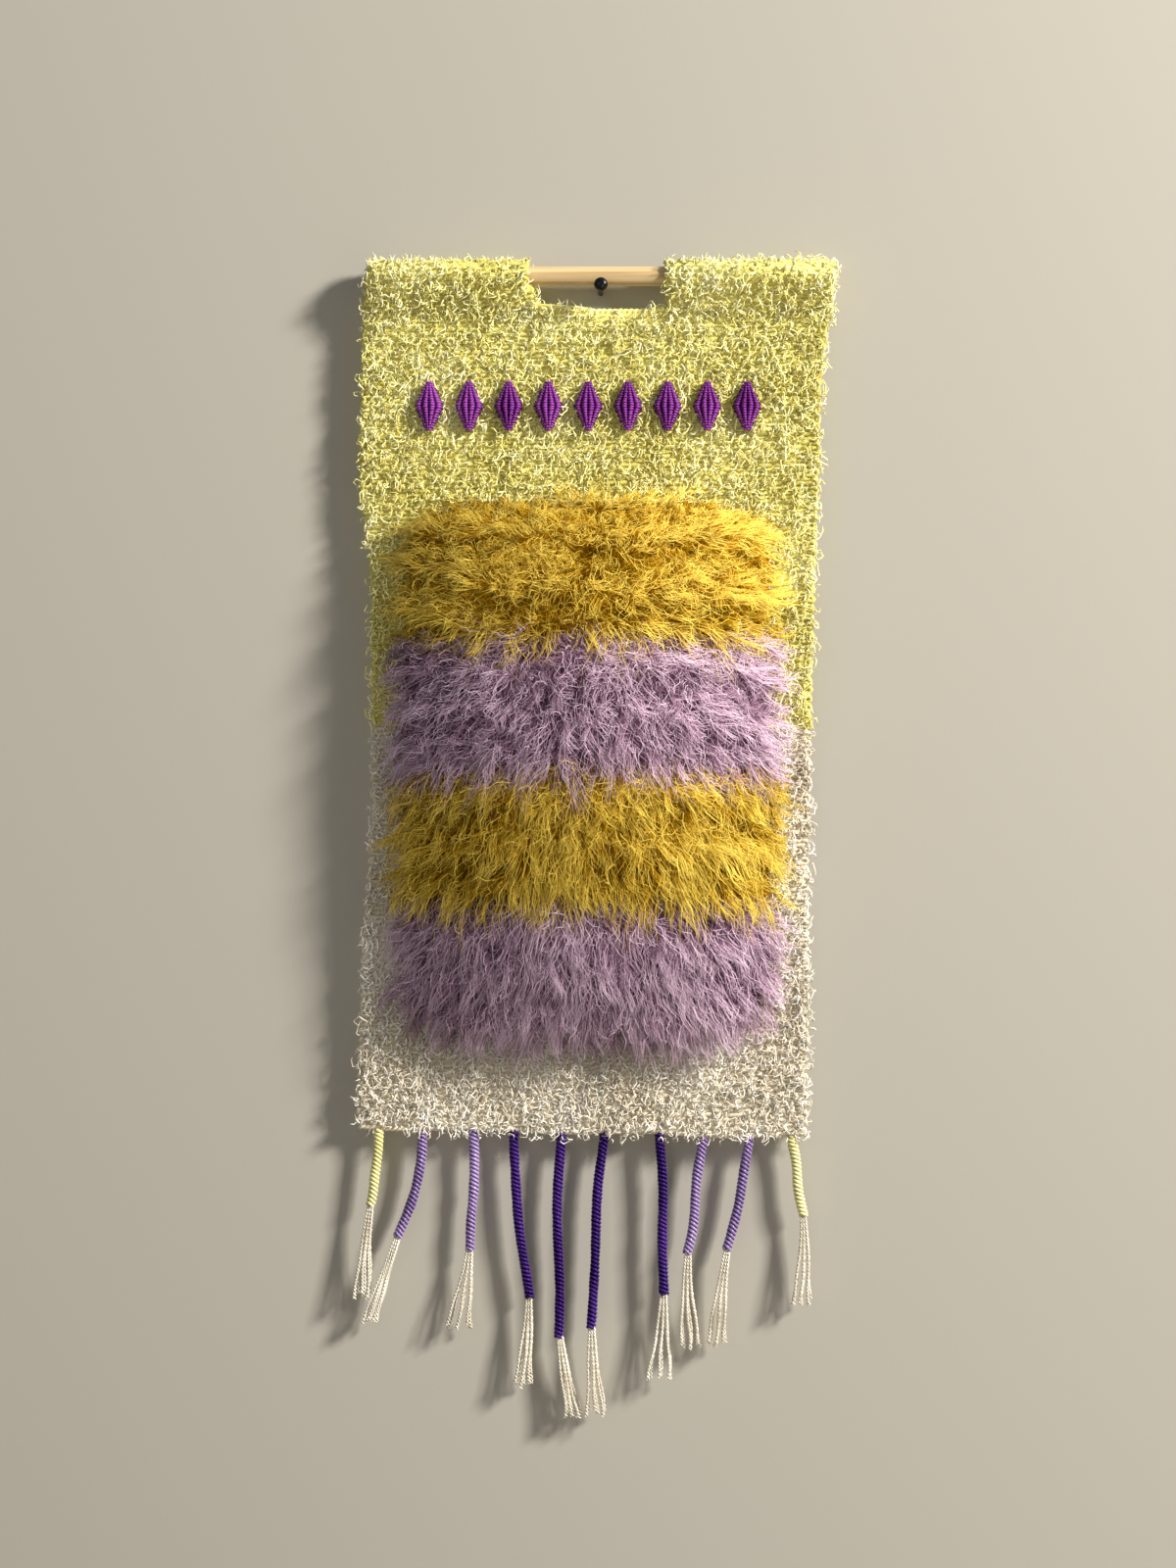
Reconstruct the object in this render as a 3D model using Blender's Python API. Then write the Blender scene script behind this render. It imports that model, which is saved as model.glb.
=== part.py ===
# Handwoven wall hanging on a wooden dowel, held by one nail.
#
# The hanging faces -Y. X runs along the dowel and Z is up. The origin is the middle of the
# nail's end face, in the plane of the wall, and everything hangs in front of that plane.

import math

import bmesh
import bpy
from mathutils import Vector

MM = 0.001
GAP = 0.3 * MM  # left between pieces that touch

# The nail and the dowel
NAIL_RADIUS = 1.5 * MM
NAIL_REACH = 26 * MM  # from the wall to the underside of the head
NAIL_HEAD_RADIUS = 3.5 * MM
NAIL_HEAD_HEIGHT = 2.6 * MM
NAIL_SIDES = 16
DOWEL_RADIUS = 5 * MM
DOWEL_SIDES = 28
DOWEL_LEFT = -115 * MM
DOWEL_RIGHT = 112 * MM
DOWEL_Z = NAIL_RADIUS + GAP + DOWEL_RADIUS

# The woven ground
CLOTH = 4 * MM  # thickness of the weave without its loose loops
WALL_GAP = 1 * MM  # between the back of the sleeves and the wall
DOWEL_Y = -(WALL_GAP + CLOTH + GAP + DOWEL_RADIUS)
SLEEVE_OUTER = DOWEL_RADIUS + GAP + CLOTH
SLEEVE_INNER = DOWEL_RADIUS + GAP
JOIN_Z = -13 * MM  # where the two layers of a sleeve become one
NOTCH_Z = -10.2 * MM  # edge of the weave in the notch between the sleeves
HEM_LEFT_Z = -428.5 * MM
HEM_RIGHT_Z = -433.5 * MM
LEAN = 1.6 * MM  # the hem hangs this much nearer the wall than the dowel
WAVE = 0.7 * MM  # the slow waves of the weave
SELVEDGE_SHARE = 0.6  # of the thickness is left at the rounded selvedges
NOTCH_LEFT = -29 * MM  # sides of the notch at its foot
NOTCH_RIGHT = 34.5 * MM
SLEEVE_END_LEFT = -37 * MM  # and at the dowel, where the sleeves end
SLEEVE_END_RIGHT = 33 * MM
NOTCH_CORNER = 14 * MM  # height over which one place turns into the other
LEFT_COLUMNS, NOTCH_COLUMNS, RIGHT_COLUMNS = 7, 6, 7
CLOTH_ROWS = 34
SLEEVE_STEPS = 10

# Selvedges, top to bottom: height, left edge and right edge in millimetres
SELVEDGES = (
    # z, left, right
    (17, -118, 120),
    (-3, -120.5, 118.5),
    (-28, -121.5, 115),
    (-53, -122.5, 112),
    (-103, -123, 111),
    (-128, -119, 110),
    (-153, -117, 109),
    (-203, -116.5, 107.5),
    (-253, -116, 107),
    (-303, -118.5, 106),
    (-328, -121, 106),
    (-353, -122, 106),
    (-403, -124, 105.5),
    (-436, -125, 105),
)

# The shaggy panel, in four straight bands
PANEL_X = -6.5 * MM
PANEL_WIDTH = 196 * MM
PANEL_TOP = -103 * MM
PANEL_CORNER = 30 * MM
BAND_HEIGHT = 71.5 * MM
PILE_DEPTH = 41 * MM
PILE_RIM = 4 * MM
PILE_LOCK = 4.5 * MM  # the locks at the rim stand this far out
PILE_LUMP = 1.6 * MM
PILE_VALLEY = 0.16  # share of the depth that is lost where two bands meet
VALLEY_WIDTH = 9 * MM
BANDS = ("mustard", "lilac", "mustard", "lilac")
BAND_COLUMNS, BAND_ROWS = 28, 9
CORNER_EASE = 1.4  # crowds the rows of the end bands towards the rounded corners

# The row of small woven lozenges
LOZENGE_COUNT = 9
LOZENGE_FIRST_X = -87.5 * MM
LOZENGE_PITCH = 20.25 * MM
LOZENGE_Z = -60 * MM
LOZENGE_WIDTH = 15 * MM
LOZENGE_HEIGHT = 25 * MM
LOZENGE_TIP = 3 * MM  # width of the blunt tips
LOZENGE_THICK = 5 * MM
LOZENGE_EDGE = 3.2 * MM
LOZENGE_RIB = 0.9 * MM
LOZENGE_RIBS = 4
LOZENGE_ROWS = 6

# The fringe: wrapped ends of the warp, each with its loose strands
WRAP_RADIUS = 2.6 * MM
WRAP_SIDES = 8
WRAP_STEPS = 11
WRAP_EASE = 1.8  # how late a wrapped end bends away from the plumb line
BOW_SKEW = 0.7  # a bow is widest this side of the middle
STRANDS_ACROSS, STRANDS_DEEP = 3, 2
STRAND = 0.95 * MM
HEAD_LENGTH = 3.5 * MM
HEAD_TOP_SHARE = 0.7  # width of the strands' head at its top, to its bottom
STRAND_INSET = 0.14 * MM
STRAND_STEPS = 4

# One row for each wrapped end, in millimetres: yarn, place at the hem, sideways bow, place and
# height of the wrapping's end, and place, spread and height of the strands' tips
FRINGE = (
    # yarn, hem_x, bow, end_x, end_z, tip_x, tip_spread, tip_z
    ("butter", -113.5, 0, -118, -468, -122, 7, -514),
    ("lilac", -91.5, 1, -103.5, -484, -118.5, 6, -527),
    ("lilac", -65, 0.5, -67, -491.5, -73, 11, -530),
    ("violet", -44.5, 0, -36.5, -515.5, -40, 7, -560),
    ("violet", -20, -2, -21, -536, -14, 6, -576),
    ("violet", 2, -3, -5, -531, -2.5, 8, -574),
    ("violet", 30, 1.5, 32, -514, 30, 11, -556),
    ("lilac", 52.5, -2, 44.5, -492.5, 46, 9, -540),
    ("lilac", 76, -1.5, 64.5, -490.5, 59, 8, -539),
    ("butter", 97.5, 1.5, 103.5, -473.5, 102.5, 8, -518),
)

# Colour, roughness and metallic value of each material
FINISHES = {
    "butter_weave": ((0.80, 0.74, 0.32), 0.95, 0.0),
    "mustard": ((0.62, 0.42, 0.05), 0.95, 0.0),
    "lilac": ((0.46, 0.34, 0.47), 0.95, 0.0),
    "violet": ((0.07, 0.02, 0.20), 0.7, 0.0),
    "butter": ((0.82, 0.78, 0.30), 0.7, 0.0),
    "purple": ((0.26, 0.07, 0.33), 0.7, 0.0),
    "cotton": ((0.80, 0.73, 0.62), 0.9, 0.0),
    "pine": ((0.66, 0.45, 0.24), 0.55, 0.0),
    "black_steel": ((0.02, 0.02, 0.022), 0.3, 0.9),
}


def clear_scene():
    for thing in list(bpy.data.objects):
        bpy.data.objects.remove(thing, do_unlink=True)


def finish(name):
    """The material of that name, made once."""
    made = bpy.data.materials.get(name)
    if made:
        return made
    colour, roughness, metallic = FINISHES[name]
    made = bpy.data.materials.new(name)
    made.use_nodes = True
    shader = made.node_tree.nodes["Principled BSDF"]
    shader.inputs["Base Color"].default_value = (*colour, 1)
    shader.inputs["Roughness"].default_value = roughness
    shader.inputs["Metallic"].default_value = metallic
    return made


def add_object(name, shape, material, smooth_angle=None):
    """Turns a bmesh into the named object, with its normals facing out."""
    bmesh.ops.recalc_face_normals(shape, faces=shape.faces)
    mesh = bpy.data.meshes.new(name)
    shape.to_mesh(mesh)
    shape.free()
    mesh.materials.append(finish(material))
    if smooth_angle is not None:
        mesh.shade_smooth()
        mesh.set_sharp_from_angle(angle=math.radians(smooth_angle))
    made = bpy.data.objects.new(name, mesh)
    bpy.context.scene.collection.objects.link(made)
    return made


def ease(value):
    """A smooth step from 0 to 1."""
    t = min(1.0, max(0.0, value))
    return t * t * (3 - 2 * t)


def selvedges(z):
    """Left and right edge of the weave at height z."""
    rows = [(row[0] * MM, row[1] * MM, row[2] * MM) for row in SELVEDGES]
    for (high, left, right), (low, next_left, next_right) in zip(rows, rows[1:]):
        if z >= low:
            break
    share = ease((high - z) / (high - low))
    return left + (next_left - left) * share, right + (next_right - right) * share


def hem_z(x):
    """Height of the hem, which sinks a little to the right and isn't quite straight."""
    left, right = selvedges(HEM_LEFT_Z)
    share = (x - left) / (right - left)
    return HEM_LEFT_Z + (HEM_RIGHT_Z - HEM_LEFT_Z) * share + 0.8 * MM * math.sin(x / (13 * MM))


def cloth_y(x, z):
    """Middle of the weave's thickness: it hangs below the dowel and leans back to the wall."""
    down = ease((JOIN_Z - z) / (JOIN_Z - HEM_RIGHT_Z))
    settled = ease((JOIN_Z - z) / (60 * MM))
    wave = math.sin(x / (31 * MM) + z / (70 * MM)) * math.cos(z / (47 * MM))
    return DOWEL_Y + LEAN * down + WAVE * settled * wave


def cloth_front(x, z):
    return cloth_y(x, z) - CLOTH / 2


def nail():
    """A round nail with a domed head, cut off flush with the wall."""
    dome = [
        (NAIL_HEAD_RADIUS * math.cos(a), NAIL_REACH + NAIL_HEAD_HEIGHT * math.sin(a))
        for a in (math.radians(15 * k) for k in range(6))
    ]
    profile = [(NAIL_RADIUS, 0), (NAIL_RADIUS, NAIL_REACH), *dome]
    shape = bmesh.new()
    rings = []
    for radius, reach in profile:
        ring = []
        for k in range(NAIL_SIDES):
            turn = 2 * math.pi * k / NAIL_SIDES
            ring.append(shape.verts.new((radius * math.cos(turn), -reach, radius * math.sin(turn))))
        rings.append(ring)
    for ring, after in zip(rings, rings[1:]):
        for k in range(NAIL_SIDES):
            shape.faces.new((ring[k - 1], ring[k], after[k], after[k - 1]))
    shape.faces.new(rings[0])
    shape.faces.new(rings[-1])
    return add_object("nail", shape, "black_steel", smooth_angle=40)


def dowel():
    shape = bmesh.new()
    ends = []
    for x in (DOWEL_LEFT, DOWEL_RIGHT):
        ring = []
        for k in range(DOWEL_SIDES):
            turn = 2 * math.pi * (k + 0.5) / DOWEL_SIDES
            y = DOWEL_Y + DOWEL_RADIUS * math.cos(turn)
            ring.append(shape.verts.new((x, y, DOWEL_Z + DOWEL_RADIUS * math.sin(turn))))
        ends.append(ring)
    left, right = ends
    for k in range(DOWEL_SIDES):
        shape.faces.new((left[k - 1], left[k], right[k], right[k - 1]))
    shape.faces.new(left)
    shape.faces.new(right)
    return add_object("dowel", shape, "pine", smooth_angle=30)


def column_shares():
    """Where the weave's columns stand, from 0 at the left selvedge to 1 at the right one."""
    left, right = selvedges(JOIN_Z)
    notch = [(edge - left) / (right - left) for edge in (NOTCH_LEFT, NOTCH_RIGHT)]
    stops = (0.0, *notch, 1.0)
    shares = [0.0]
    for start, end, count in zip(stops, stops[1:], (LEFT_COLUMNS, NOTCH_COLUMNS, RIGHT_COLUMNS)):
        shares += [start + (end - start) * (k + 1) / count for k in range(count)]
    return shares


def top_z(column):
    """Top of the single layer of weave: the notch's edge, or the join under a sleeve."""
    inside = LEFT_COLUMNS < column < LEFT_COLUMNS + NOTCH_COLUMNS
    return NOTCH_Z + 0.5 * MM * math.sin(2.6 * column) if inside else JOIN_Z


def sleeve_angle():
    """Angle from the vertical at which a sleeve's layers come together under the dowel."""
    aside, below = CLOTH / 2, DOWEL_Z - JOIN_Z
    return math.asin(SLEEVE_OUTER / math.hypot(aside, below)) - math.atan2(aside, below)


def sleeve_loops():
    """Outer and inner outline of a sleeve in the plane across the dowel, front to back."""
    slope = sleeve_angle()
    sweep = math.pi + 2 * slope
    turns = [math.pi + slope - sweep * k / SLEEVE_STEPS for k in range(SLEEVE_STEPS + 1)]
    outer, inner = [
        [(DOWEL_Y + r * math.cos(a), DOWEL_Z + r * math.sin(a)) for a in turns]
        for r in (SLEEVE_OUTER, SLEEVE_INNER)
    ]
    return outer, inner, (DOWEL_Y, DOWEL_Z - SLEEVE_INNER / math.sin(slope))


def sleeve_x(share, z, side):
    """Place along the dowel of a point of a sleeve, whose inner end is a side of the notch."""
    left, right = selvedges(z)
    turned = ease((z - JOIN_Z) / NOTCH_CORNER)
    if side == "left":
        end = NOTCH_LEFT + (SLEEVE_END_LEFT - NOTCH_LEFT) * turned
        return left + (end - left) * share
    end = NOTCH_RIGHT + (SLEEVE_END_RIGHT - NOTCH_RIGHT) * turned
    return end + (right - end) * share


def ground_weave():
    """The woven ground: one layer, with a sleeve round the dowel at each side of the notch."""
    shape = bmesh.new()
    shares = column_shares()
    last = len(shares) - 1
    front, back = [], []
    for column, share in enumerate(shares):
        left, right = selvedges(HEM_LEFT_Z)
        low, high = hem_z(left + (right - left) * share), top_z(column)
        edge = SELVEDGE_SHARE if column in (0, last) else 1
        faces = [], []
        for row in range(CLOTH_ROWS + 1):
            z = low + (high - low) * row / CLOTH_ROWS
            left, right = selvedges(z)
            x = left + (right - left) * share
            for side, way in zip(faces, (-1, 1)):
                y = cloth_y(x, z) + way * edge * CLOTH / 2
                side.append(shape.verts.new((x, y, z)))
        front.append(faces[0])
        back.append(faces[1])
    for c in range(last):
        for r in range(CLOTH_ROWS):
            shape.faces.new((front[c][r], front[c + 1][r], front[c + 1][r + 1], front[c][r + 1]))
            shape.faces.new((back[c][r], back[c][r + 1], back[c + 1][r + 1], back[c + 1][r]))
        shape.faces.new((front[c][0], back[c][0], back[c + 1][0], front[c + 1][0]))
    for c in (0, last):
        for r in range(CLOTH_ROWS):
            shape.faces.new((front[c][r], front[c][r + 1], back[c][r + 1], back[c][r]))
    notch_end = LEFT_COLUMNS + NOTCH_COLUMNS
    for c in range(LEFT_COLUMNS, notch_end):
        shape.faces.new((front[c][-1], front[c + 1][-1], back[c + 1][-1], back[c][-1]))
    for side, columns in (
        ("left", range(LEFT_COLUMNS + 1)),
        ("right", range(notch_end, last + 1)),
    ):
        tops = [(front[c][-1], back[c][-1]) for c in columns]
        add_sleeve(shape, side, tops)
    return add_object("ground_weave", shape, "butter_weave")


def add_sleeve(shape, side, tops):
    """Carries the weave's top edge round the dowel and down to its own back."""
    outer_line, inner_line, apex = sleeve_loops()
    outer, inner = [], []
    for k, (front_top, back_top) in enumerate(tops):
        share = k / (len(tops) - 1)
        loops = [
            [shape.verts.new((sleeve_x(share, z, side), y, z)) for y, z in line]
            for line in (outer_line, inner_line)
        ]
        point = shape.verts.new((sleeve_x(share, apex[1], side), *apex))
        outer.append([front_top, *loops[0], back_top])
        inner.append([point, *loops[1], point])
    for here, after in zip(outer, outer[1:]):
        for k in range(len(here) - 1):
            shape.faces.new((here[k], after[k], after[k + 1], here[k + 1]))
    for here, after in zip(inner, inner[1:]):
        for k in range(len(here) - 1):
            shape.faces.new((here[k], here[k + 1], after[k + 1], after[k]))
    for end in (0, -1):
        out, into = outer[end], inner[end]
        for k in range(len(out) - 1):
            corners = dict.fromkeys((out[k], out[k + 1], into[k + 1], into[k]))
            shape.faces.new(tuple(corners))
        shape.faces.new((out[0], out[-1], into[0]))


def grid_solid(name, front, back, material):
    """A closed solid between two grids of points that share their rim's outline."""
    shape = bmesh.new()
    sides = [[[shape.verts.new(p) for p in line] for line in grid] for grid in (front, back)]
    columns, rows = len(front) - 1, len(front[0]) - 1
    for side in sides:
        for c in range(columns):
            for r in range(rows):
                corners = (side[c][r], side[c + 1][r], side[c + 1][r + 1], side[c][r + 1])
                shape.faces.new(corners)
    for c in range(columns):
        for r in (0, rows):
            shape.faces.new((sides[0][c][r], sides[0][c + 1][r], sides[1][c + 1][r], sides[1][c][r]))
    for r in range(rows):
        for c in (0, columns):
            shape.faces.new((sides[0][c][r], sides[0][c][r + 1], sides[1][c][r + 1], sides[1][c][r]))
    return add_object(name, shape, material)


def panel_half_width(z):
    """Half the panel's width at height z, with its rounded corners."""
    bottom = PANEL_TOP - len(BANDS) * BAND_HEIGHT
    into = min(PANEL_CORNER, PANEL_TOP - z, z - bottom)
    inset = PANEL_CORNER - math.sqrt(max(0, PANEL_CORNER**2 - (PANEL_CORNER - into) ** 2))
    return PANEL_WIDTH / 2 - inset


def pile_depth(across, z):
    """How far the pile stands off the weave; across runs from -1 to 1 over the panel's width."""
    middle = PANEL_TOP - len(BANDS) * BAND_HEIGHT / 2
    along = (z - middle) / (len(BANDS) * BAND_HEIGHT / 2)
    crown = (1 - abs(across) ** 3.2) ** 0.5 * (1 - min(1.0, abs(along)) ** 4.5) ** 0.5
    valley = 1.0
    for seam in range(1, len(BANDS)):
        away = (z - PANEL_TOP + seam * BAND_HEIGHT) / VALLEY_WIDTH
        valley -= PILE_VALLEY * math.exp(-away * away)
    lump = math.sin(across * 23 + z / (9 * MM)) * math.cos(across * 11 - z / (6 * MM))
    return PILE_RIM + (PILE_DEPTH - PILE_RIM) * crown * valley + PILE_LUMP * crown * lump


def pile_band(number):
    """One band of the panel: a lumpy slab with pointed locks where it meets the open weave."""
    top = PANEL_TOP - number * BAND_HEIGHT
    bottom = top - BAND_HEIGHT + GAP
    last = len(BANDS) - 1
    front, back = [], []
    for c in range(BAND_COLUMNS + 1):
        across = 2 * c / BAND_COLUMNS - 1
        lines = [], []
        for r in range(BAND_ROWS + 1):
            down = r / BAND_ROWS
            if number == 0:
                down = down**CORNER_EASE
            elif number == last:
                down = 1 - (1 - down) ** CORNER_EASE
            z = top - (top - bottom) * down
            depth = pile_depth(across, z)
            x = PANEL_X + across * panel_half_width(z)
            if c in (0, BAND_COLUMNS) and r % 2:
                x += math.copysign(PILE_LOCK, across)
            if number == 0 and r == 0 and c % 2:
                z += PILE_LOCK
            if number == last and r == BAND_ROWS and c % 2:
                z -= PILE_LOCK
            foot = cloth_front(x, z) - GAP
            lines[0].append((x, foot - depth, z))
            lines[1].append((x, foot, z))
        front.append(lines[0])
        back.append(lines[1])
    name = f"pile_band_{number + 1}_{BANDS[number]}"
    return grid_solid(name, front, back, BANDS[number])


def lozenge(number):
    """A small needle-woven lozenge: ribs of warp down its length, thickest in the middle."""
    centre = LOZENGE_FIRST_X + number * LOZENGE_PITCH
    columns = 2 * LOZENGE_RIBS
    front, back = [], []
    for c in range(columns + 1):
        across = 2 * c / columns - 1
        lines = [], []
        for r in range(LOZENGE_ROWS + 1):
            along = 2 * r / LOZENGE_ROWS - 1
            half = (LOZENGE_TIP + (LOZENGE_WIDTH - LOZENGE_TIP) * (1 - abs(along))) / 2
            x = centre + across * half
            z = LOZENGE_Z + along * LOZENGE_HEIGHT / 2
            crown = (1 - across * across) * (1 - along * along)
            thick = LOZENGE_EDGE + (LOZENGE_THICK - LOZENGE_EDGE) * crown
            if c % 2:
                thick += LOZENGE_RIB * (1 - 0.5 * abs(along))
            foot = cloth_front(x, z) - GAP
            lines[0].append((x, foot - thick, z))
            lines[1].append((x, foot, z))
        front.append(lines[0])
        back.append(lines[1])
    return grid_solid(f"lozenge_{number + 1}", front, back, "purple")


def wrap_path(row):
    """Centre line of one wrapped end, from just under the hem to the end of its wrapping."""
    _, hem_x, bow, end_x, end_z, *_ = row
    start_x, run = hem_x * MM, (end_x - hem_x) * MM
    start_z = hem_z(start_x) - GAP - 0.2 * MM
    y = cloth_y(start_x, start_z)
    points = []
    for k in range(WRAP_STEPS + 1):
        t = k / WRAP_STEPS
        sway = bow * MM * math.sin(math.pi * t**BOW_SKEW) ** 2
        z = start_z + (end_z * MM - start_z) * t
        points.append(Vector((start_x + run * t**WRAP_EASE + sway, y, z)))
    return points


def directions(points):
    """Unit direction of the line at each of its points; the first one is straight down."""
    found = [Vector((0, 0, -1))]
    for before, after in zip(points, points[2:]):
        found.append((after - before).normalized())
    found.append((points[-1] - points[-2]).normalized())
    return found


def wrapped_end(number, row):
    """Warp ends wound closely with yarn: a slender bent tube with rounded ends."""
    shape = bmesh.new()
    points = wrap_path(row)
    ways = directions(points)
    rings = []
    for k, (point, way) in enumerate(zip(points, ways)):
        aside = Vector((-way.z, 0, way.x))
        radius = WRAP_RADIUS * (0.86 if k in (0, WRAP_STEPS) else 1)
        ring = []
        for side in range(WRAP_SIDES):
            turn = 2 * math.pi * side / WRAP_SIDES
            offset = aside * math.cos(turn) + Vector((0, 1, 0)) * math.sin(turn)
            ring.append(shape.verts.new(point + radius * offset))
        rings.append(ring)
    for ring, after in zip(rings, rings[1:]):
        for side in range(WRAP_SIDES):
            shape.faces.new((ring[side - 1], ring[side], after[side], after[side - 1]))
    shape.faces.new(rings[0])
    shape.faces.new(rings[-1])
    return add_object(f"wrap_{number}", shape, row[0], smooth_angle=50)


def tassel(number, row):
    """The loose warp strands below a wrapping, held together in a short head."""
    points = wrap_path(row)
    way = directions(points)[-1]
    aside = Vector((-way.z, 0, way.x))
    top = points[-1] + way * GAP
    *_, tip_x, tip_spread, tip_z = row
    shape = bmesh.new()
    layers = []
    for drop, share in ((0, HEAD_TOP_SHARE), (HEAD_LENGTH, 1)):
        layer = []
        for i in range(STRANDS_ACROSS + 1):
            line = []
            for j in range(STRANDS_DEEP + 1):
                across = (i - STRANDS_ACROSS / 2) * STRAND * share
                deep = (j - STRANDS_DEEP / 2) * STRAND * share
                line.append(shape.verts.new(top + way * drop + aside * across + Vector((0, deep, 0))))
            layer.append(line)
        layers.append(layer)
    roots = {}
    for layer in layers:
        for i in range(STRANDS_ACROSS):
            for j in range(STRANDS_DEEP):
                face = shape.faces.new((layer[i][j], layer[i + 1][j], layer[i + 1][j + 1], layer[i][j + 1]))
                if layer is layers[1]:
                    roots[i, j] = face
    upper, lower = layers
    for i in range(STRANDS_ACROSS):
        for j in (0, STRANDS_DEEP):
            shape.faces.new((upper[i][j], upper[i + 1][j], lower[i + 1][j], lower[i][j]))
    for j in range(STRANDS_DEEP):
        for i in (0, STRANDS_ACROSS):
            shape.faces.new((upper[i][j], upper[i][j + 1], lower[i][j + 1], lower[i][j]))
    bmesh.ops.recalc_face_normals(shape, faces=shape.faces)
    bmesh.ops.inset_individual(shape, faces=list(roots.values()), thickness=STRAND_INSET)
    for (i, j), root in roots.items():
        across = (i - (STRANDS_ACROSS - 1) / 2) / (STRANDS_ACROSS - 1) * 2
        deep = j - (STRANDS_DEEP - 1) / 2
        tip = Vector((
            (tip_x + across * tip_spread / 2 + deep) * MM,
            top.y + deep * 3.2 * MM,
            (tip_z + 1.5 * math.sin(5 * number + 3 * i + 2 * j)) * MM,
        ))
        grow_strand(shape, root, way, tip)
    return add_object(f"tassel_{number}", shape, "cotton")


def grow_strand(shape, root, way, tip):
    """Draws one strand down from its root: it leaves along the head and ends at its tip."""
    start = root.calc_center_median()
    reach = (tip - start).length
    face = root
    for k in range(STRAND_STEPS):
        t = (k + 1) / STRAND_STEPS
        bend = way * reach * t * (1 - t) ** 2
        target = start + (tip - start) * (1 - (1 - t) ** 1.15) + bend * 0.5
        if k == STRAND_STEPS - 1:
            target = tip
        grown = bmesh.ops.extrude_discrete_faces(shape, faces=[face])["faces"][0]
        move = target - grown.calc_center_median()
        bmesh.ops.translate(shape, verts=grown.verts[:], vec=move)
        face = grown


def main():
    clear_scene()
    nail()
    dowel()
    ground_weave()
    for number in range(len(BANDS)):
        pile_band(number)
    for number in range(LOZENGE_COUNT):
        lozenge(number)
    for number, row in enumerate(FRINGE, start=1):
        wrapped_end(number, row)
        tassel(number, row)


main()
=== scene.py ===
# %% [markdown]
# # A handwoven wall hanging
# The hanging is a small piece of hand weaving on a wooden dowel: a woolly ground, a panel of long
# brushed pile, a row of needle-woven lozenges and a fringe of wrapped warp ends. The solids come
# from the frame, at their real size and in their real places. This script dresses them in yarn.
#
# Almost everything here is a strand of some kind, so most pieces are made by Geometry Nodes trees
# that turn lines into yarn. The materials are small trees as well, written as Python expressions.

# %% Load the frame
import math

import bmesh
import bpy
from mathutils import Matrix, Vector
from mathutils.bvhtree import BVHTree


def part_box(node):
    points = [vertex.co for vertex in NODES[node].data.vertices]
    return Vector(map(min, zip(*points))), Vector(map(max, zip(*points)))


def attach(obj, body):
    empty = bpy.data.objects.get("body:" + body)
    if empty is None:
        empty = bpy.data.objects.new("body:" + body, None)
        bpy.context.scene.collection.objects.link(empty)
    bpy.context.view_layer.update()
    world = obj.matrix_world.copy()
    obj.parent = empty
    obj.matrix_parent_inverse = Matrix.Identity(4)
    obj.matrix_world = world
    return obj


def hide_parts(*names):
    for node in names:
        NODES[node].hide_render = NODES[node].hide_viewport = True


MM = 0.001
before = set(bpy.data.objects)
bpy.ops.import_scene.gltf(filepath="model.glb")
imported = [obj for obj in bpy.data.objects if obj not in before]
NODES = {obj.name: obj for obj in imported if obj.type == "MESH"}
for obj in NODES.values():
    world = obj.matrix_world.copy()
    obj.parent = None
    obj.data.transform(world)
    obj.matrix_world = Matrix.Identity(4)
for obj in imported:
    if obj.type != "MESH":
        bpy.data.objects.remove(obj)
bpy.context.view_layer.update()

# %% [markdown]
# ## A small language for nodes
# Node trees are easier to read as sums than as lists of links. One class wraps an output socket
# and gives it Python's operators, so that `1 - mask * 0.5` makes its own Math nodes. It serves
# materials and geometry alike, because both kinds of tree share the Math nodes. A second class
# makes any other node from its type, its settings and the values of its sockets.


# %% Sockets as Python values
def operator(operation, swapped=False):
    """A Python operator that makes a Math node."""

    def act(wire, other):
        pair = (other, wire) if swapped else (wire, other)
        return wire.graph.math(operation, *pair)

    return act


class Wire:
    """An output socket that takes part in Python expressions."""

    __add__ = __radd__ = operator("ADD")
    __sub__ = operator("SUBTRACT")
    __rsub__ = operator("SUBTRACT", swapped=True)
    __mul__ = __rmul__ = operator("MULTIPLY")
    __truediv__ = operator("DIVIDE")
    __pow__ = operator("POWER")

    def __init__(self, graph, socket):
        self.graph = graph
        self.socket = socket

    def out(self, name):
        """Another output of the same node."""
        return Wire(self.graph, self.socket.node.outputs[name])


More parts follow.
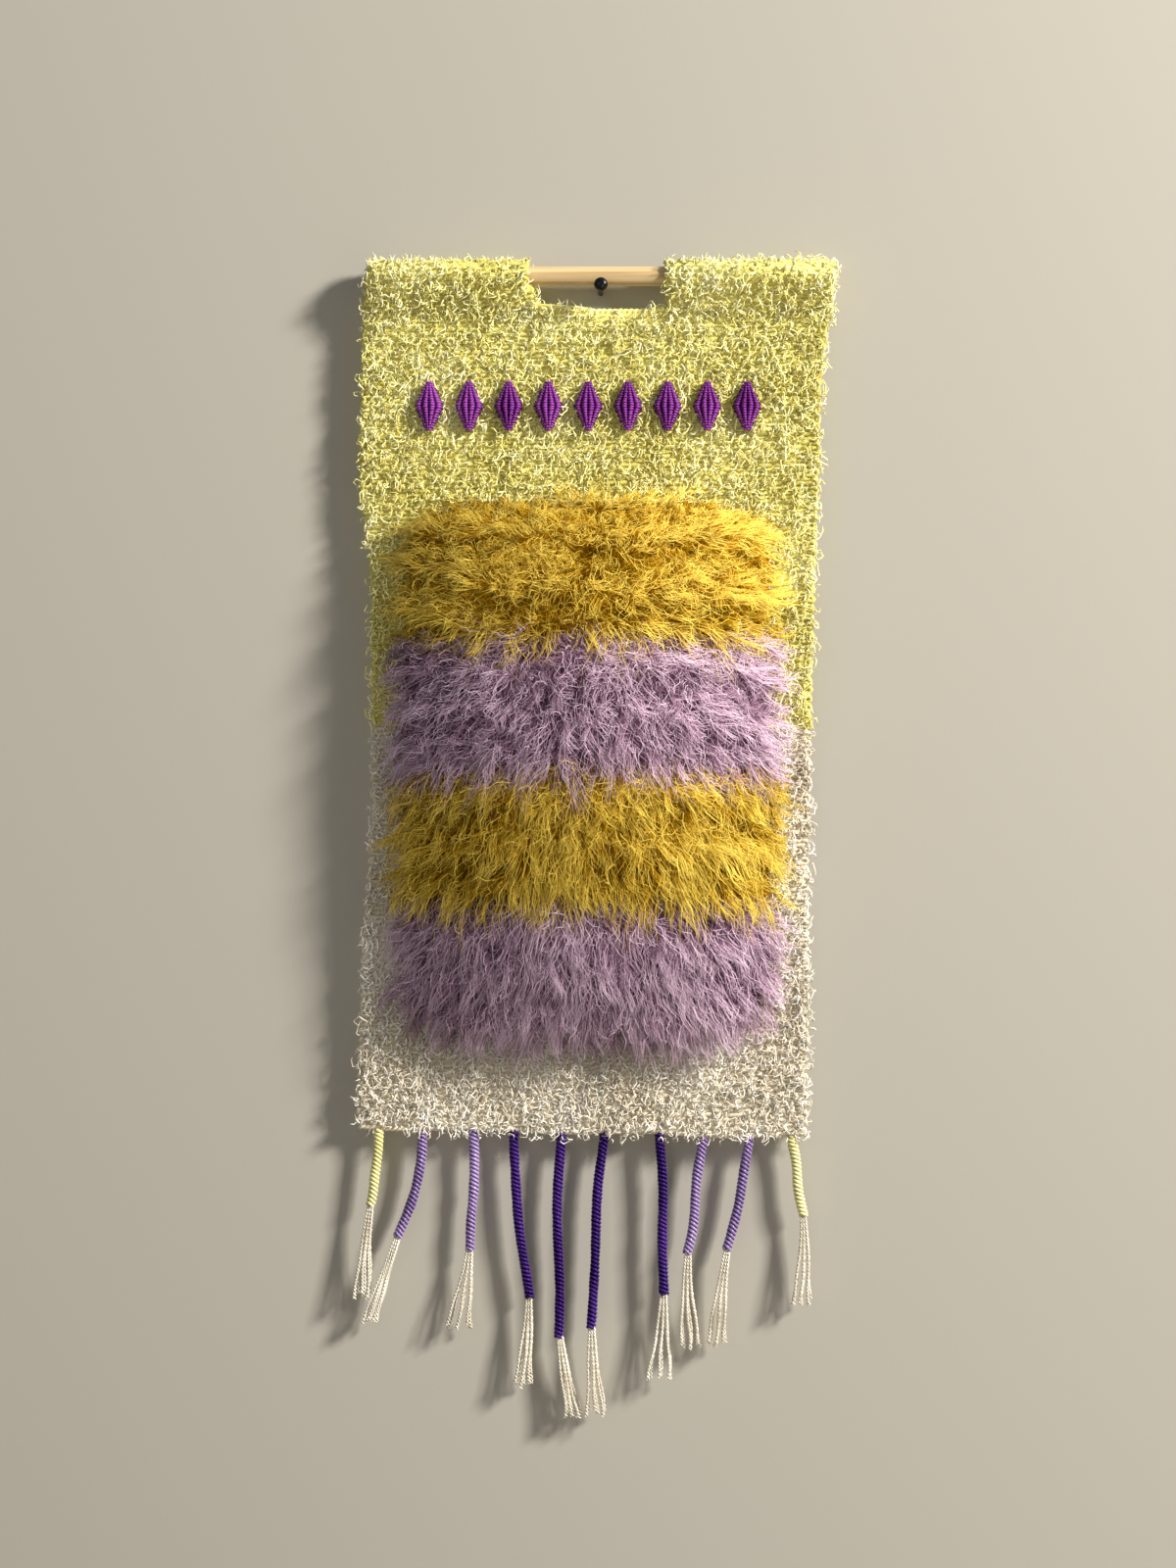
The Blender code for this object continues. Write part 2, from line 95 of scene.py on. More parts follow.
class Graph:
    """Adds nodes to one tree."""

    def __init__(self, tree):
        self.tree = tree

    def add(self, kind, settings=None, values=(), out=None):
        """A node with its settings, then its values, in order or by name; gives one output."""
        node = self.tree.nodes.new(kind)
        for name, value in (settings or {}).items():
            if name == "stops":
                fill_ramp(node.color_ramp, value)
            else:
                setattr(node, name, value)
        free = [socket for socket in node.inputs if socket.enabled]
        if isinstance(values, dict):
            pairs = [(next(s for s in free if s.name == name), v) for name, v in values.items()]
        else:
            pairs = list(zip(free, values))
        for socket, value in pairs:
            self.feed(socket, value)
        given = [socket for socket in node.outputs if socket.enabled]
        return Wire(self, given[0] if out is None else next(s for s in given if s.name == out))

    def feed(self, socket, value):
        """Links a wire to a socket, or sets the socket's own value."""
        if isinstance(value, Wire):
            self.tree.links.new(value.socket, socket)
            return
        if socket.type == "VECTOR" and isinstance(value, (int, float)):
            value = (value, value, value)
        if socket.type == "RGBA":
            value = (*value[:3], 1)
        socket.default_value = value

    def math(self, operation, *values):
        """A Math node, or a Vector Math node where a vector takes part."""
        vectors = any(isinstance(value, (tuple, Vector)) for value in values) or any(
            isinstance(value, Wire) and value.socket.type == "VECTOR" for value in values
        )
        kind = "ShaderNodeVectorMath" if vectors else "ShaderNodeMath"
        return self.add(kind, {"operation": operation}, values)

    def noise(self, place, scale, detail=2.0, out="Fac"):
        """Blender's noise with its middle at 0.5."""
        values = {"Vector": place, "Scale": scale, "Detail": detail}
        return self.add("ShaderNodeTexNoise", None, values, out)

    def jitter(self, place, scale, detail):
        """A vector of noise with its middle at nought."""
        return self.noise(place, scale, detail, "Color") - (0.5, 0.5, 0.5)

    def ramp(self, share, stops):
        """A colour that runs through stops, each a place from 0 to 1 and a colour."""
        return self.add("ShaderNodeValToRGB", {"stops": stops}, (share,))

    def parts(self, vector):
        """The three numbers of a vector."""
        first = self.add("ShaderNodeSeparateXYZ", None, (vector,))
        return first, first.out("Y"), first.out("Z")

    def join(self, x, y, z):
        """A vector from three numbers."""
        return self.add("ShaderNodeCombineXYZ", None, (x, y, z))

    def place(self):
        """Where each point of a geometry is."""
        return self.add("GeometryNodeInputPosition")

    def kept(self, label, kind="FLOAT"):
        """What was stored at each point under a name."""
        return self.add("GeometryNodeInputNamedAttribute", {"data_type": kind}, (label,))


def link_object(name, data):
    """Puts a mesh, a lamp or a camera into the scene as an object."""
    made = bpy.data.objects.new(name, data)
    bpy.context.scene.collection.objects.link(made)
    return made


def fill_ramp(ramp, stops):
    """Gives a colour ramp the stops of a list."""
    while len(ramp.elements) < len(stops):
        ramp.elements.new(0.5)
    for element, (place, colour) in zip(ramp.elements, stops):
        element.position = place
        element.color = (*colour, 1)


def srgb(red, green, blue):
    """A colour as a screen shows it, from 0 to 255, turned into the light it stands for."""
    return tuple(
        (c / 255 / 12.92) if c / 255 <= 0.04045 else ((c / 255 + 0.055) / 1.055) ** 2.4
        for c in (red, green, blue)
    )


# %% [markdown]
# ## Camera
# The photograph looks straight at the hanging. Its middle is a little left of the nail and a good
# way below it. The lens follows from the distance and from how much of the wall the frame shows.
# A long distance keeps the sides nearly parallel, as they are in the picture.

# %% Place the camera
PHOTO_WIDTH, PHOTO_HEIGHT = 1200, 1600
NAIL_PIXEL = (613, 295)  # where the photograph shows the origin
PIXEL = 0.5 * MM  # size of one pixel at the cloth
CAMERA_DISTANCE = 1.4
CLOTH_PLANE_Y = -12 * MM
SENSOR = 36.0

camera = link_object("camera", bpy.data.cameras.new("camera"))
camera.location = (
    (PHOTO_WIDTH / 2 - NAIL_PIXEL[0]) * PIXEL,
    CLOTH_PLANE_Y - CAMERA_DISTANCE,
    (NAIL_PIXEL[1] - PHOTO_HEIGHT / 2) * PIXEL,
)
camera.rotation_euler = (math.pi / 2, 0, 0)
camera.data.sensor_width = SENSOR
camera.data.lens = SENSOR * CAMERA_DISTANCE / (PHOTO_HEIGHT * PIXEL)
bpy.context.scene.camera = camera
print("lens in mm:", round(camera.data.lens, 1))

# %% [markdown]
# ## Stage and light
# A studio would hang the piece on a pale board over a pale floor. The board is one plane just
# behind the nail's end, and it shows from the front only, so that the back of the weaving can be
# looked at too. The key light is a panel high on the right, so the left side falls into shade
# and the pile throws its shadow to the left. A weak panel on the left and a pale world fill
# that shade. A third panel lights the back, for views from behind.


# %% Build the stage and the lights
def stage_plane(name, corner, across, up, material):
    """A rectangle of the stage, from one corner and its two sides."""
    corner, across, up = Vector(corner), Vector(across), Vector(up)
    mesh = bpy.data.meshes.new(name)
    mesh.from_pydata([corner, corner + across, corner + across + up, corner + up], [], [(0, 1, 2, 3)])
    mesh.materials.append(material)
    plane = link_object(name, mesh)
    return plane


def new_material(name, constants):
    """A Principled material with its constant sockets set; gives its graph and shader too."""
    material = bpy.data.materials.new(name)
    material.use_nodes = True
    shader = material.node_tree.nodes["Principled BSDF"]
    for socket, value in constants.items():
        shader.inputs[socket].default_value = value
    return material, Graph(material.node_tree), shader


BOARD_COLOUR = srgb(170, 165, 154)
FLOOR_COLOUR = srgb(140, 136, 128)
BOARD_Y = 0.4 * MM
BOARD_REACH = 1.6
FLOOR_REACH = 6
FLOOR_Z = -0.72

floor_material, _, _ = new_material("pale_floor", {"Base Color": (*FLOOR_COLOUR, 1), "Roughness": 0.9})
board_material, board, board_shader = new_material(
    "pale_board", {"Base Color": (*BOARD_COLOUR, 1), "Roughness": 0.95}
)
behind = board.add("ShaderNodeNewGeometry", None, (), "Backfacing")
clear = board.add("ShaderNodeBsdfTransparent")
output = board_material.node_tree.nodes["Material Output"]
surface = board.add("ShaderNodeMixShader", None, (behind, Wire(board, board_shader.outputs[0]), clear))
board.feed(output.inputs["Surface"], surface)

board_corner = (-BOARD_REACH, BOARD_Y, FLOOR_Z)
board_up = (0, 0, BOARD_REACH - FLOOR_Z)
board_plane = stage_plane("board", board_corner, (2 * BOARD_REACH, 0, 0), board_up, board_material)
board_plane.visible_shadow = False
board_plane.visible_diffuse = False
floor_corner = (-FLOOR_REACH, -FLOOR_REACH, FLOOR_Z)
floor_up = (0, 2 * FLOOR_REACH, 0)
stage_plane("floor", floor_corner, (2 * FLOOR_REACH, 0, 0), floor_up, floor_material)


def light_panel(name, place, aim, size, watts, colour):
    """A square soft light that looks at a point."""
    lamp = bpy.data.lights.new(name, "AREA")
    lamp.shape = "SQUARE"
    lamp.size = size
    lamp.energy = watts
    lamp.color = colour
    panel = link_object(name, lamp)
    panel.location = place
    panel.rotation_euler = (Vector(aim) - Vector(place)).to_track_quat("-Z", "Y").to_euler()


AIM = (0, 0, -0.25)
light_panel("key", (2.32, -1.4, 1.22), AIM, 0.5, 198, (1, 0.97, 0.91))
light_panel("fill", (-0.9, -1.9, 0.3), AIM, 1.2, 5, (0.93, 0.95, 1))
light_panel("behind", (0.8, 1.6, 0.6), AIM, 1.2, 22, (1, 1, 1))
WORLD_COLOUR = (0.95, 0.96, 1, 1)
WORLD_STRENGTH = 0.22
world = bpy.data.worlds.new("pale_room")
world.use_nodes = True
backdrop = world.node_tree.nodes["Background"]
backdrop.inputs["Color"].default_value = WORLD_COLOUR
backdrop.inputs["Strength"].default_value = WORLD_STRENGTH
bpy.context.scene.world = world
bpy.context.scene.view_settings.view_transform = "Standard"

# %% [markdown]
# ## Running a Geometry Nodes tree
# Each tree takes a simple mesh, often no more than lines, and named sizes. After it has run, the
# result is kept as a plain mesh, because a piece must stand on its own in other programs. A tube
# can come out inside out, so the volume's sign is looked at and the faces turned where it is
# negative.


# %% Helpers for trees and meshes
def start_tree(name, sizes):
    """A geometry tree with a geometry input, a material and named sizes, and wires from them."""
    tree = bpy.data.node_groups.new(name, "GeometryNodeTree")
    face = tree.interface
    face.new_socket("Geometry", in_out="INPUT", socket_type="NodeSocketGeometry")
    face.new_socket("Material", in_out="INPUT", socket_type="NodeSocketMaterial")
    for label, value in sizes.items():
        kind = "NodeSocketFloat"
        if isinstance(value, int):
            kind = "NodeSocketInt"
        elif isinstance(value, tuple):
            kind = "NodeSocketVector"
        face.new_socket(label, in_out="INPUT", socket_type=kind).default_value = value
    face.new_socket("Geometry", in_out="OUTPUT", socket_type="NodeSocketGeometry")
    graph = Graph(tree)
    inlet = tree.nodes.new("NodeGroupInput")
    return graph, {socket.name: Wire(graph, socket) for socket in inlet.outputs if socket.name}


TIP_MERGE = 0.002 * MM


def tube(graph, curves, sides, radius, taper=1.0):
    """Sweeps a polygon along curves; where the taper is nought the points of a ring become one."""
    outline = graph.add("GeometryNodeCurvePrimitiveCircle", None, (sides, radius))
    swept = graph.add("GeometryNodeCurveToMesh", None, (curves, outline, taper, True))
    return graph.add("GeometryNodeMergeByDistance", None, {"Geometry": swept, "Distance": TIP_MERGE})


def end_tree(graph, geometry, material):
    """Smooth faces, real meshes in place of instances, and the material."""
    smooth = graph.add("GeometryNodeSetShadeSmooth", None, (geometry,))
    real = graph.add("GeometryNodeRealizeInstances", None, (smooth,))
    dressed = graph.add("GeometryNodeSetMaterial", None, {"Geometry": real, "Material": material})
    outlet = graph.tree.nodes.new("NodeGroupOutput")
    graph.feed(outlet.inputs[0], dressed)
    return graph.tree


def scatter(graph, kind, low, high, seed):
    """A random number or vector for each point."""
    values = {"Min": low, "Max": high, "Seed": seed}
    return graph.add("FunctionNodeRandomValue", {"data_type": kind}, values)


def keep(graph, geometry, label, value, kind="FLOAT"):
    """Stores a value at each point under a name."""
    settings = {"data_type": kind, "domain": "POINT"}
    values = {"Geometry": geometry, "Name": label, "Value": value}
    return graph.add("GeometryNodeStoreNamedAttribute", settings, values)


def move(graph, geometry, offset):
    """Moves each point."""
    return graph.add("GeometryNodeSetPosition", None, {"Geometry": geometry, "Offset": offset})


def plant(graph, points, line, turn, size):
    """A real copy of a line at every point, turned and sized."""
    values = {"Points": points, "Instance": line, "Rotation": turn, "Scale": graph.join(size, size, size)}
    copies = graph.add("GeometryNodeInstanceOnPoints", None, values)
    return graph.add("GeometryNodeRealizeInstances", None, (copies,))


def face_outwards(mesh):
    """Turns a closed mesh the right way round, and tells how many triangles it has."""
    shape = bmesh.new()
    shape.from_mesh(mesh)
    if shape.calc_volume(signed=True) < 0:
        bmesh.ops.reverse_faces(shape, faces=shape.faces)
        shape.to_mesh(mesh)
    triangles = sum(len(face.verts) - 2 for face in shape.faces)
    shape.free()
    return triangles


TALLY = {}
# what only the trees use:
SCAFFOLDING = ("id", "root", "middle", "chance", "outside", "beat", "phase", "axis", "reach", "behind")


def grow(name, source, tree, sizes):
    """Runs a tree on a mesh and keeps the result as a plain mesh object."""
    carrier = link_object(name + "_carrier", source)
    modifier = carrier.modifiers.new("tree", "NODES")
    modifier.node_group = tree
    for item in tree.interface.items_tree:
        if item.in_out == "INPUT" and item.name in sizes:
            modifier[item.identifier] = sizes[item.name]
    depsgraph = bpy.context.evaluated_depsgraph_get()
    mesh = bpy.data.meshes.new_from_object(
        carrier.evaluated_get(depsgraph), preserve_all_data_layers=True, depsgraph=depsgraph
    )
    mesh.name = name
    bpy.data.objects.remove(carrier)
    for label in SCAFFOLDING:
        if label in mesh.attributes:
            mesh.attributes.remove(mesh.attributes[label])
    TALLY[name] = face_outwards(mesh)
    print(name, "has", TALLY[name], "triangles")
    return link_object(name, mesh)


def lines_mesh(name, lines, attributes):
    """A mesh of open lines, with a vector or number kept at each point under each name."""
    places = [point for line in lines for point in line]
    edges = []
    start = 0
    for line in lines:
        edges += [(start + k, start + k + 1) for k in range(len(line) - 1)]
        start += len(line)
    mesh = bpy.data.meshes.new(name)
    mesh.from_pydata(places, edges, [])
    for label, values in attributes.items():
        if isinstance(values[0], (int, float)):
            layer = mesh.attributes.new(label, "FLOAT", "POINT")
            layer.data.foreach_set("value", values)
        else:
            layer = mesh.attributes.new(label, "FLOAT_VECTOR", "POINT")
            layer.data.foreach_set("vector", [number for vector in values for number in vector])
    return mesh


MERGE_DISTANCE = 0.01 * MM


def solid_copy(*nodes):
    """A merged, closed copy of one or more solids of the frame."""
    shape = bmesh.new()
    for node in nodes:
        shape.from_mesh(NODES[node].data)
    bmesh.ops.remove_doubles(shape, verts=shape.verts, dist=MERGE_DISTANCE)
    return shape


def shape_to_piece(name, shape, materials):
    """Turns an edited shape into a smooth mesh object, all of it in the first material."""
    mesh = bpy.data.meshes.new(name)
    shape.to_mesh(mesh)
    shape.free()
    for material in materials:
        mesh.materials.append(material)
    for face in mesh.polygons:
        face.material_index = 0
    mesh.shade_smooth()
    TALLY[name] = sum(len(face.vertices) - 2 for face in mesh.polygons)
    return link_object(name, mesh)


def box_of(node):
    """The low and the high corner of a solid's box."""
    return [Vector(corner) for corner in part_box(node)]


def spread(first, last, steps):
    """Evenly spaced numbers from the first to the last."""
    return [first + (last - first) * k / steps for k in range(steps + 1)]


# %% [markdown]
# ## Yarn as a material
# All the yarn here has painted light in its colour: a fine noise paints it paler where fibres
# would catch the light, a painted highlight, and deeper in the hollows between them, a painted
# shade. One function makes such a material from three colours. A slow noise varies the shade over
# a few centimetres, as hand dyeing does. On strands the shade also follows attributes that their
# trees keep at each point: how far along its strand it lies, which paints shade towards the roots
# of the pile, and a shade of the strand's own. Other attributes paint shade into grooves and tier
# partings and highlights onto wisps. A fine bump stands for single fibres, and sheen for the fuzz
# that is too fine to model.


# %% Make the yarns
CLOUD_SCALE, CLOUD_WEIGHT = 24, 0.9
FIBRE_SCALE, FIBRE_LIGHT_AND_SHADE = 1500, 0.5
STOP_PLACES = (0.05, 0.45, 0.9)
FIBRE_RELIEF = 0.15 * MM


def dress(graph, shader, colour, roughness, relief, depth, height):
    """Feeds a shader its colour, its roughness and a bump."""
    bump = {"Strength": relief, "Distance": depth, "Height": height}
    graph.feed(shader.inputs["Base Color"], colour)
    graph.feed(shader.inputs["Roughness"], roughness)
    graph.feed(shader.inputs["Normal"], graph.add("ShaderNodeBump", None, bump))


def yarn(name, *shades, sheen=0.4, gloss=0.25, rough=0.9, weights=None):
    """Yarn between a deep, a middle and a pale shade; weights say how far attributes move it."""
    shades = [srgb(*shade) for shade in shades]
    constants = {
        "Sheen Weight": sheen,
        "Sheen Roughness": 0.5,
        "Sheen Tint": (*shades[-1], 1),
        "Specular IOR Level": gloss,
        "Specular Tint": (*shades[-1], 1),
    }
    material, graph, shader = new_material(name, constants)
    place = graph.add("ShaderNodeTexCoord", None, (), "Object")
    cloudy = graph.noise(place, CLOUD_SCALE, 3)
    fibres = graph.noise(place, FIBRE_SCALE, 2)
    # Painted highlight and painted shade: the same fine noise that drives the bump makes the colour paler
    # on raised fibres and deeper in the hollows.
    share = (cloudy - 0.5) * CLOUD_WEIGHT + (fibres - 0.5) * FIBRE_LIGHT_AND_SHADE
    # Attributes kept by the trees move the colour too; several of them carry painted shade or painted
    # highlight.
    for label, weight in (weights or {}).items():
        value = graph.add("ShaderNodeAttribute", {"attribute_name": label}, (), "Fac")
        share = share + (value - 0.5) * weight
    colour = graph.ramp(share + 0.5, list(zip(STOP_PLACES, shades)))
    dress(graph, shader, colour, rough - fibres * 0.15, 0.45, FIBRE_RELIEF, fibres)
    return material


CURLED = {"rough": 0.7, "weights": {"own": 0.6}}
# Weights of the pile's colour: along paints shade towards the roots, own is each strand's random tone,
# lock carries each lock's random tone with painted shade, halo and highlight.
PILE_TONE_AND_PAINTED_LIGHT = {"along": 0.75, "own": 0.15, "lock": 0.95}
SOFT = {"sheen": 0.5, "gloss": 0.12, "rough": 0.75, "weights": PILE_TONE_AND_PAINTED_LIGHT}
# Painted shade: the weft rows are painted deeper than the curls of the same looped yarn, as the shade
# among the curls; the curls are the paler copy.
SHADED_BUTTER_WEFT = yarn("butter_weft", (142, 131, 56), (206, 196, 106), (243, 236, 158))
SHADED_CREAM_WEFT = yarn("cream_weft", (166, 152, 128), (214, 202, 178), (240, 231, 210))
BUTTER_CURL = yarn("butter_curl", (226, 212, 108), (253, 245, 166), (255, 254, 222), **CURLED)
CREAM_CURL = yarn("cream_curl", (220, 206, 178), (247, 239, 222), (255, 253, 247), **CURLED)
MUSTARD_PILE = yarn("mustard_pile", (70, 46, 0), (184, 140, 10), (246, 216, 98), **SOFT)
LILAC_PILE = yarn("lilac_pile", (56, 32, 50), (155, 117, 141), (228, 200, 218), **SOFT)
# Painted shade: the cores are painted darker than the pile, as the shade deep among the fibres.
MUSTARD_SHADED_ROOTS = yarn("mustard_shaded_roots", (64, 38, 0), (134, 92, 2), (184, 138, 14), sheen=0.0)
LILAC_SHADED_ROOTS = yarn("lilac_shaded_roots", (54, 30, 46), (110, 76, 98), (158, 120, 146), sheen=0.0)

# %% [markdown]
# ## The ground weave
# The ground is a weft-faced weave: thick rows pass in front of one warp thread and behind the
# next, and are beaten down until they hide the warp. A bump on a flat sheet could show that, but
# the edges would stay flat. Here the weft is real: one yarn that runs to and fro. Its way is laid
# out by measuring the solid of the frame with rays, so it follows the solid's outline and waves.
# At the top of each side the rows go on round the dowel, where the cloth is its sleeve.

# %% Measure the cloth
GROUND = BVHTree.FromBMesh(solid_copy("ground_weave"))
FAR = 0.5
FRONT = Vector((0, -1, 0))
ground_low, ground_high = box_of("ground_weave")
dowel_low, dowel_high = box_of("dowel")
DOWEL_MIDDLE = (dowel_low + dowel_high) / 2
DOWEL_RADIUS = (dowel_high.z - dowel_low.z) / 2
SLEEVE_OUTER = ground_high.z - DOWEL_MIDDLE.z
SLEEVE_MIDDLE = (SLEEVE_OUTER + DOWEL_RADIUS) / 2
CLOTH_SLICES = [DOWEL_MIDDLE.y + step * MM for step in (-1, 0, 1, 2, 3)]


def strike(start, way, solid=GROUND):
    """The point where a ray first meets a solid, or nothing."""
    return solid.ray_cast(Vector(start), Vector(way))[0]


def selvedges(z):
    """Left and right edge of the weave at height z, below the sleeves."""
    lefts = [strike((-FAR, y, z), (1, 0, 0)) for y in CLOTH_SLICES]
    rights = [strike((FAR, y, z), (-1, 0, 0)) for y in CLOTH_SLICES]
    return min(p.x for p in lefts if p), max(p.x for p in rights if p)


def middle_y(x, z):
    """Middle of the weave's thickness."""
    front = strike((x, -FAR, z), (0, 1, 0))
    back = strike((x, FAR, z), (0, -1, 0))
    return (front.y + back.y) / 2 if front and back else DOWEL_MIDDLE.y


def hem_z(x):
    """Height of the hem at x."""
    found = [strike((x, y, -2 * FAR), (0, 0, 1)) for y in CLOTH_SLICES]
    return min(p.z for p in found if p)


NOTCH_Z = strike((0, DOWEL_MIDDLE.y, DOWEL_MIDDLE.z - SLEEVE_OUTER), (0, 0, -1)).z
JOIN_Z = NOTCH_Z - 2.5 * MM  # where the sleeves begin
HEM_LEFT_X, HEM_RIGHT_X = ground_low.x + 8 * MM, 100 * MM  # two places along the hem
HEM_LEFT_Z, HEM_RIGHT_Z = hem_z(HEM_LEFT_X), hem_z(HEM_RIGHT_X)
print("notch edge and hem in mm:", [round(z / MM, 1) for z in (NOTCH_Z, HEM_LEFT_Z, HEM_RIGHT_Z)])

# %% [markdown]
# A row is a list of steps from selvedge to selvedge. Each step has a place, the side that is
# outside there, and a beat. The beat counts the warp threads that the row has passed, so its
# cosine says whether the yarn is in front or behind. The next row starts one beat later.

# %% Lay out the rows of weft
ROW_PITCH = 2.3 * MM
WARP_PITCH = 2.8 * MM
EDGE_INSET = 1 * MM
TURN_REACH = 0.6 * MM
ROWS = round((JOIN_Z - (HEM_LEFT_Z + HEM_RIGHT_Z) / 2) / ROW_PITCH)


def steps_between(left, right, place, outside, number):
    """The steps of one row; place(x, share) gives each step's place."""
    left, right = left + EDGE_INSET, right - EDGE_INSET
    count = round((right - left) / WARP_PITCH)
    xs = spread(left, right, count)
    return [(place(x, k / count), outside, k + number) for k, x in enumerate(xs)]


def flat_row(number):
    """One row across the whole cloth, from number 0 at the hem."""
    share = (number + 0.5) / ROWS
    z_left = HEM_LEFT_Z + (JOIN_Z - HEM_LEFT_Z) * share
    z_right = HEM_RIGHT_Z + (JOIN_Z - HEM_RIGHT_Z) * share

    def place(x, across):
        z = z_left + (z_right - z_left) * across
        return Vector((x, middle_y(x, z), z))

    return steps_between(*selvedges((z_left + z_right) / 2), place, FRONT, number)


def sleeve_places():
    """Middle line of a sleeve's cloth, from the join up round the dowel, with its outside."""
    drop = DOWEL_MIDDLE.z - JOIN_Z
    lean = math.asin(SLEEVE_MIDDLE / drop)
    run = math.sqrt(drop**2 - SLEEVE_MIDDLE**2)
    length = 2 * run + SLEEVE_MIDDLE * (math.pi + 2 * lean)
    places = []
    for k in range(1, round(length / ROW_PITCH)):
        s = k * ROW_PITCH
        if run < s < length - run:
            turn = math.pi + lean - (s - run) / SLEEVE_MIDDLE
            out = (math.cos(turn), math.sin(turn))
            place = (SLEEVE_MIDDLE * out[0], DOWEL_MIDDLE.z + SLEEVE_MIDDLE * out[1])
        else:
            side = -1 if s < run else 1
            up = s if s < run else length - s
            out = (side * math.cos(lean), -math.sin(lean))
            place = (side * up * math.sin(lean), JOIN_Z + up * math.cos(lean))
        places.append((DOWEL_MIDDLE.y + place[0], place[1], Vector((0, *out))))
    return places


def sleeve_rows(side):
    """The rows of the left or right sleeve."""
    found = []
    for number, (y, z, outside) in enumerate(sleeve_places()):
        inner, outer = strike((0, y, z), (side, 0, 0)), strike((side * FAR, y, z), (-side, 0, 0))
        if inner and outer:
            left, right = sorted((inner.x, outer.x))
            row = steps_between(left, right, lambda x, share: Vector((x, y, z)), outside, number)
            found.append(row)
    return found


def to_and_fro(rows):
    """One line through all rows, every second one backwards, with a turn at each edge."""
    line = []
    for number, row in enumerate(rows):
        row = row[::-1] if number % 2 else row
        if line:
            before, after = line[-1], row[0]
            aside = (before[0] - line[-2][0]).normalized() * TURN_REACH
            line.append(((before[0] + after[0]) / 2 + aside, before[1], 0.5))
        line += row
    return line


flat_rows = [flat_row(number) for number in range(ROWS)]
COLOUR_JOIN_Z = -223 * MM  # the ground changes colour along one straight row
cream_row_count = sum(row[0][0].z < COLOUR_JOIN_Z for row in flat_rows)
print(ROWS, "rows of weft below the sleeves,", cream_row_count, "of them cream")

# %% [markdown]
# The tree turns these lines into yarn. It swings each step in front of the warp or behind it,
# lets it wander a little, and sweeps a small polygon along the line. The yarn is spun unevenly,
# so its thickness changes along the row.


# %% Turn the lines into woven yarn
def weft_tree():
    """Lines to woven rows of uneven yarn."""
    sizes = {
        "Swing": 0.7 * MM,
        "Thickness": 2.75 * MM,
        "Unevenness": 0.9,
        "Wander": 1.3 * MM,
        "Wander Scale": 180.0,
        "Slub Scale": 240.0,
        "Sides": 4,
    }
    graph, given = start_tree("woven_rows", sizes)
    curves = graph.add("GeometryNodeMeshToCurve", None, (given["Geometry"],))
    place = graph.place()
    side = graph.math("COSINE", graph.kept("beat") * math.pi)
    swing = graph.kept("outside", "FLOAT_VECTOR") * (side * given["Swing"])
    offset = swing + graph.jitter(place, given["Wander Scale"], 2) * given["Wander"]
    # Painted light: the yarn is painted paler where it lies fully in front or behind, a painted
    # highlight, and darker where it passes between, a painted shade; only the lozenge thread reads it.
    woven = keep(graph, curves, "ridge", graph.math("ABSOLUTE", side))
    width = (graph.noise(place, given["Slub Scale"], 2) - 0.5) * given["Unevenness"] + 1
    thread = tube(graph, move(graph, woven, offset), given["Sides"], given["Thickness"] / 2, width)
    return end_tree(graph, thread, given["Material"])


def weave_mesh(name, lines):
    """The source mesh of some woven lines."""
    steps = [step for line in lines for step in line]
    attributes = {"outside": [step[1] for step in steps], "beat": [step[2] for step in steps]}
    return lines_mesh(name, [[step[0] for step in line] for line in lines], attributes)


WEFT = weft_tree()
butter_weft, cream_weft, butter_sleeves = (
    grow("weft_" + name, weave_mesh(name + "_lines", lines), WEFT, {"Material": material})
    for name, material, lines in (
        ("butter", SHADED_BUTTER_WEFT, [to_and_fro(flat_rows[cream_row_count:])]),
        ("cream", SHADED_CREAM_WEFT, [to_and_fro(flat_rows[:cream_row_count])]),
        ("sleeves", SHADED_BUTTER_WEFT, [to_and_fro(sleeve_rows(side)) for side in (-1, 1)]),
    )
)

# %% [markdown]
# Behind the rows lies the body of the cloth, a thin sheet that closes the chinks between them. It
# stands for the whole sheet.

# %% Make the sheet inside the rows
SHEET_SHARE = 0.3  # thickness of the sheet, to that of the solid


def drawn_in(name, nodes, depth, materials):
    """Copies of solids as one mesh, with every face drawn in by a depth."""
    shape = solid_copy(*nodes)
    shape.normal_update()
    places = [vert.co - vert.normal * depth for vert in shape.verts]
    for vert, place in zip(shape.verts, places):
        vert.co = place
    return shape_to_piece(name, shape, materials)


sheet_depth = (SLEEVE_OUTER - DOWEL_RADIUS) / 2 * (1 - SHEET_SHARE)
cloth_body = drawn_in("cloth_body", ["ground_weave"], sheet_depth, [SHADED_CREAM_WEFT, SHADED_BUTTER_WEFT])
for face in cloth_body.data.polygons:
    face.material_index = int(face.center.z > COLOUR_JOIN_Z)

# %% [markdown]
# ## Loose curls
# The weft is a looped yarn, so curls stand out of every row and hide much of the weave. A curl is
# a short bit of a spiral with a triangle swept along it, which keeps each one down to a few dozen
# faces. They are scattered over the rows, turned and sized at random, and bent by a noise so that
# no two are alike. Then each hangs down a little, more so towards its end. None grow under the
# pile, where nobody sees them, and few on the back. A curl that starts in front is held before the
# back of the cloth, so it never comes out behind.

